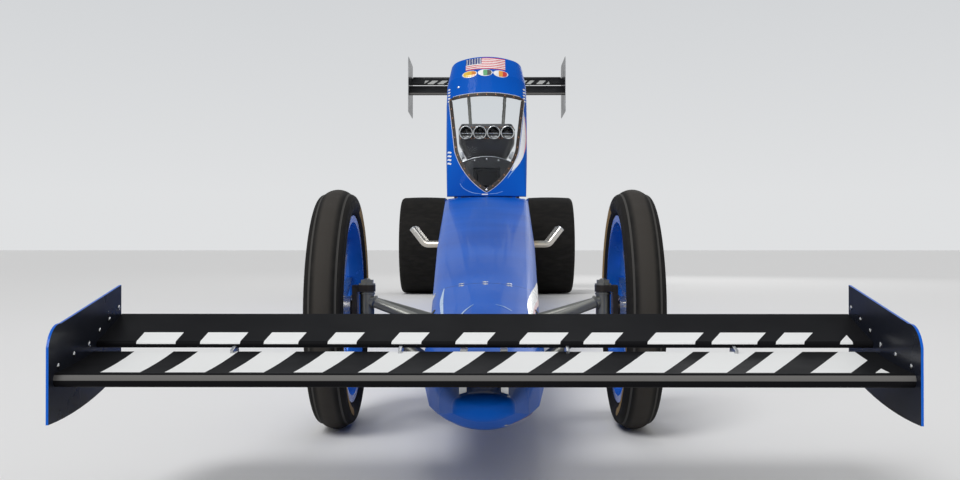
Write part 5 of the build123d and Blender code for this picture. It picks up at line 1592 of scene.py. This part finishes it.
harness = {
    "half": 0.023,
    "thick": 0.0022,
    "buckle": (0.0, 5.452, 0.262),
    "buckleDisc": [(0.0, 0.017), (0.020, 0.0165), (0.029, 0.012), (0.031, 0.006), (0.031, -0.004),
                   (0.0, -0.004)],
    "shoulder": ((0.072, 5.872, 0.722), (0.072, 5.838, 0.720), (0.072, 5.792, 0.708), (0.072, 5.750, 0.674),
                 (0.073, 5.714, 0.600), (0.071, 5.650, 0.485), (0.060, 5.588, 0.372), (0.034, 5.526, 0.302),
                 (0.012, 5.462, 0.268)),
    "lap": ((0.158, 5.610, 0.262), (0.142, 5.570, 0.288), (0.100, 5.520, 0.284), (0.050, 5.475, 0.268),
            (0.012, 5.455, 0.262)),
    # x, station, height, size and tilt of the adjusters and the lap fittings
    "fittings": ((0.073, 5.676, 0.532, (0.054, 0.006, 0.040), -28),
                 (0.158, 5.612, 0.256, (0.006, 0.036, 0.036), 20)),
}


def ribbon(bm, rows, half, thick):
    made = bmesh.ops.create_grid(bm, x_segments=1, y_segments=36, size=0.5)
    faces = linked(made["verts"], "link_faces")
    for vert in made["verts"]:
        share, hand = vert.co.y + 0.5, vert.co.x * 2
        ahead = smoothRow(rows, share + 0.01) - smoothRow(rows, share - 0.01)
        aside = ahead.cross(Vector((0, -0.5, 0.86))).normalized()
        vert.co = smoothRow(rows, share) + aside * hand * half
    bmesh.ops.recalc_face_normals(bm, faces=faces)
    bmesh.ops.solidify(bm, geom=faces, thickness=thick)


belts, metal = bmesh.new(), bmesh.new()
for side in (1, -1):
    for route in (harness["shoulder"], harness["lap"]):
        rows = [spot(side * x, station, z) for x, station, z in route]
        ribbon(belts, rows, harness["half"], harness["thick"])
    for x, station, z, size, tilt in harness["fittings"]:
        slab(metal, spot(side * x, station, z), size, 0.002, (tilt, 0, 0))
addPiece("harness", belts, "strapWeb")
buckle = spot(*harness["buckle"])
lean = Vector((0, -0.45, 0.9)).normalized()
lathe(metal, harness["buckleDisc"], buckle + lean * 0.004, lean, 36)
slab(metal, buckle + lean * 0.022, (0.052, 0.014, 0.005), 0.002, (27, 0, 20))
addPiece("buckles", metal, "brightAluminium")

controls = {
    "wheel": (5.120, 0.640),   # station and height
    "grooves": 9,
    "groovePitch": 0.012,
    "switchX": (-0.150, -0.112),
    "switch": [(0.0, 0.004), (0.006, 0.004), (0.0075, 0.0), (0.0075, -0.001)],
}
gripBm, dashBm = bmesh.new(), bmesh.new()
wheelStation, wheelZ = controls["wheel"]
grip = [(0.0133, 0.004)]
for number in range(controls["grooves"]):
    along = number * controls["groovePitch"]
    grip += [(0.0158, 0.006 + along), (0.0158, 0.014 + along), (0.0148, 0.0155 + along)]
grip += [(0.0133, 0.118)]
for side in (1, -1):
    low = spot(side * 0.060, wheelStation, wheelZ - 0.050)
    lathe(gripBm, grip, low, Vector((side * 0.060, 0, 0.110)), 24, closed=True)
addPiece("steeringGrips", gripBm, "hardRubber")
for x in controls["switchX"]:
    lathe(dashBm, controls["switch"], spot(x, 4.8645, 0.735), backward, 16)
    bar(dashBm, spot(x, 4.868, 0.735), spot(x, 4.886, 0.741), 0.0026, 10, 0.0036)
bar(dashBm, spot(0, 4.865, 0.733), spot(0, 4.873, 0.7295), 0.024, 28)
boltRing(dashBm, spot(0, 4.8725, 0.7300), "Y", 0.0195, 5, backward, 0.003, 0.004)
addPiece("dashSwitches", dashBm, "machinedAluminium")

print("harness and cockpit fittings done")
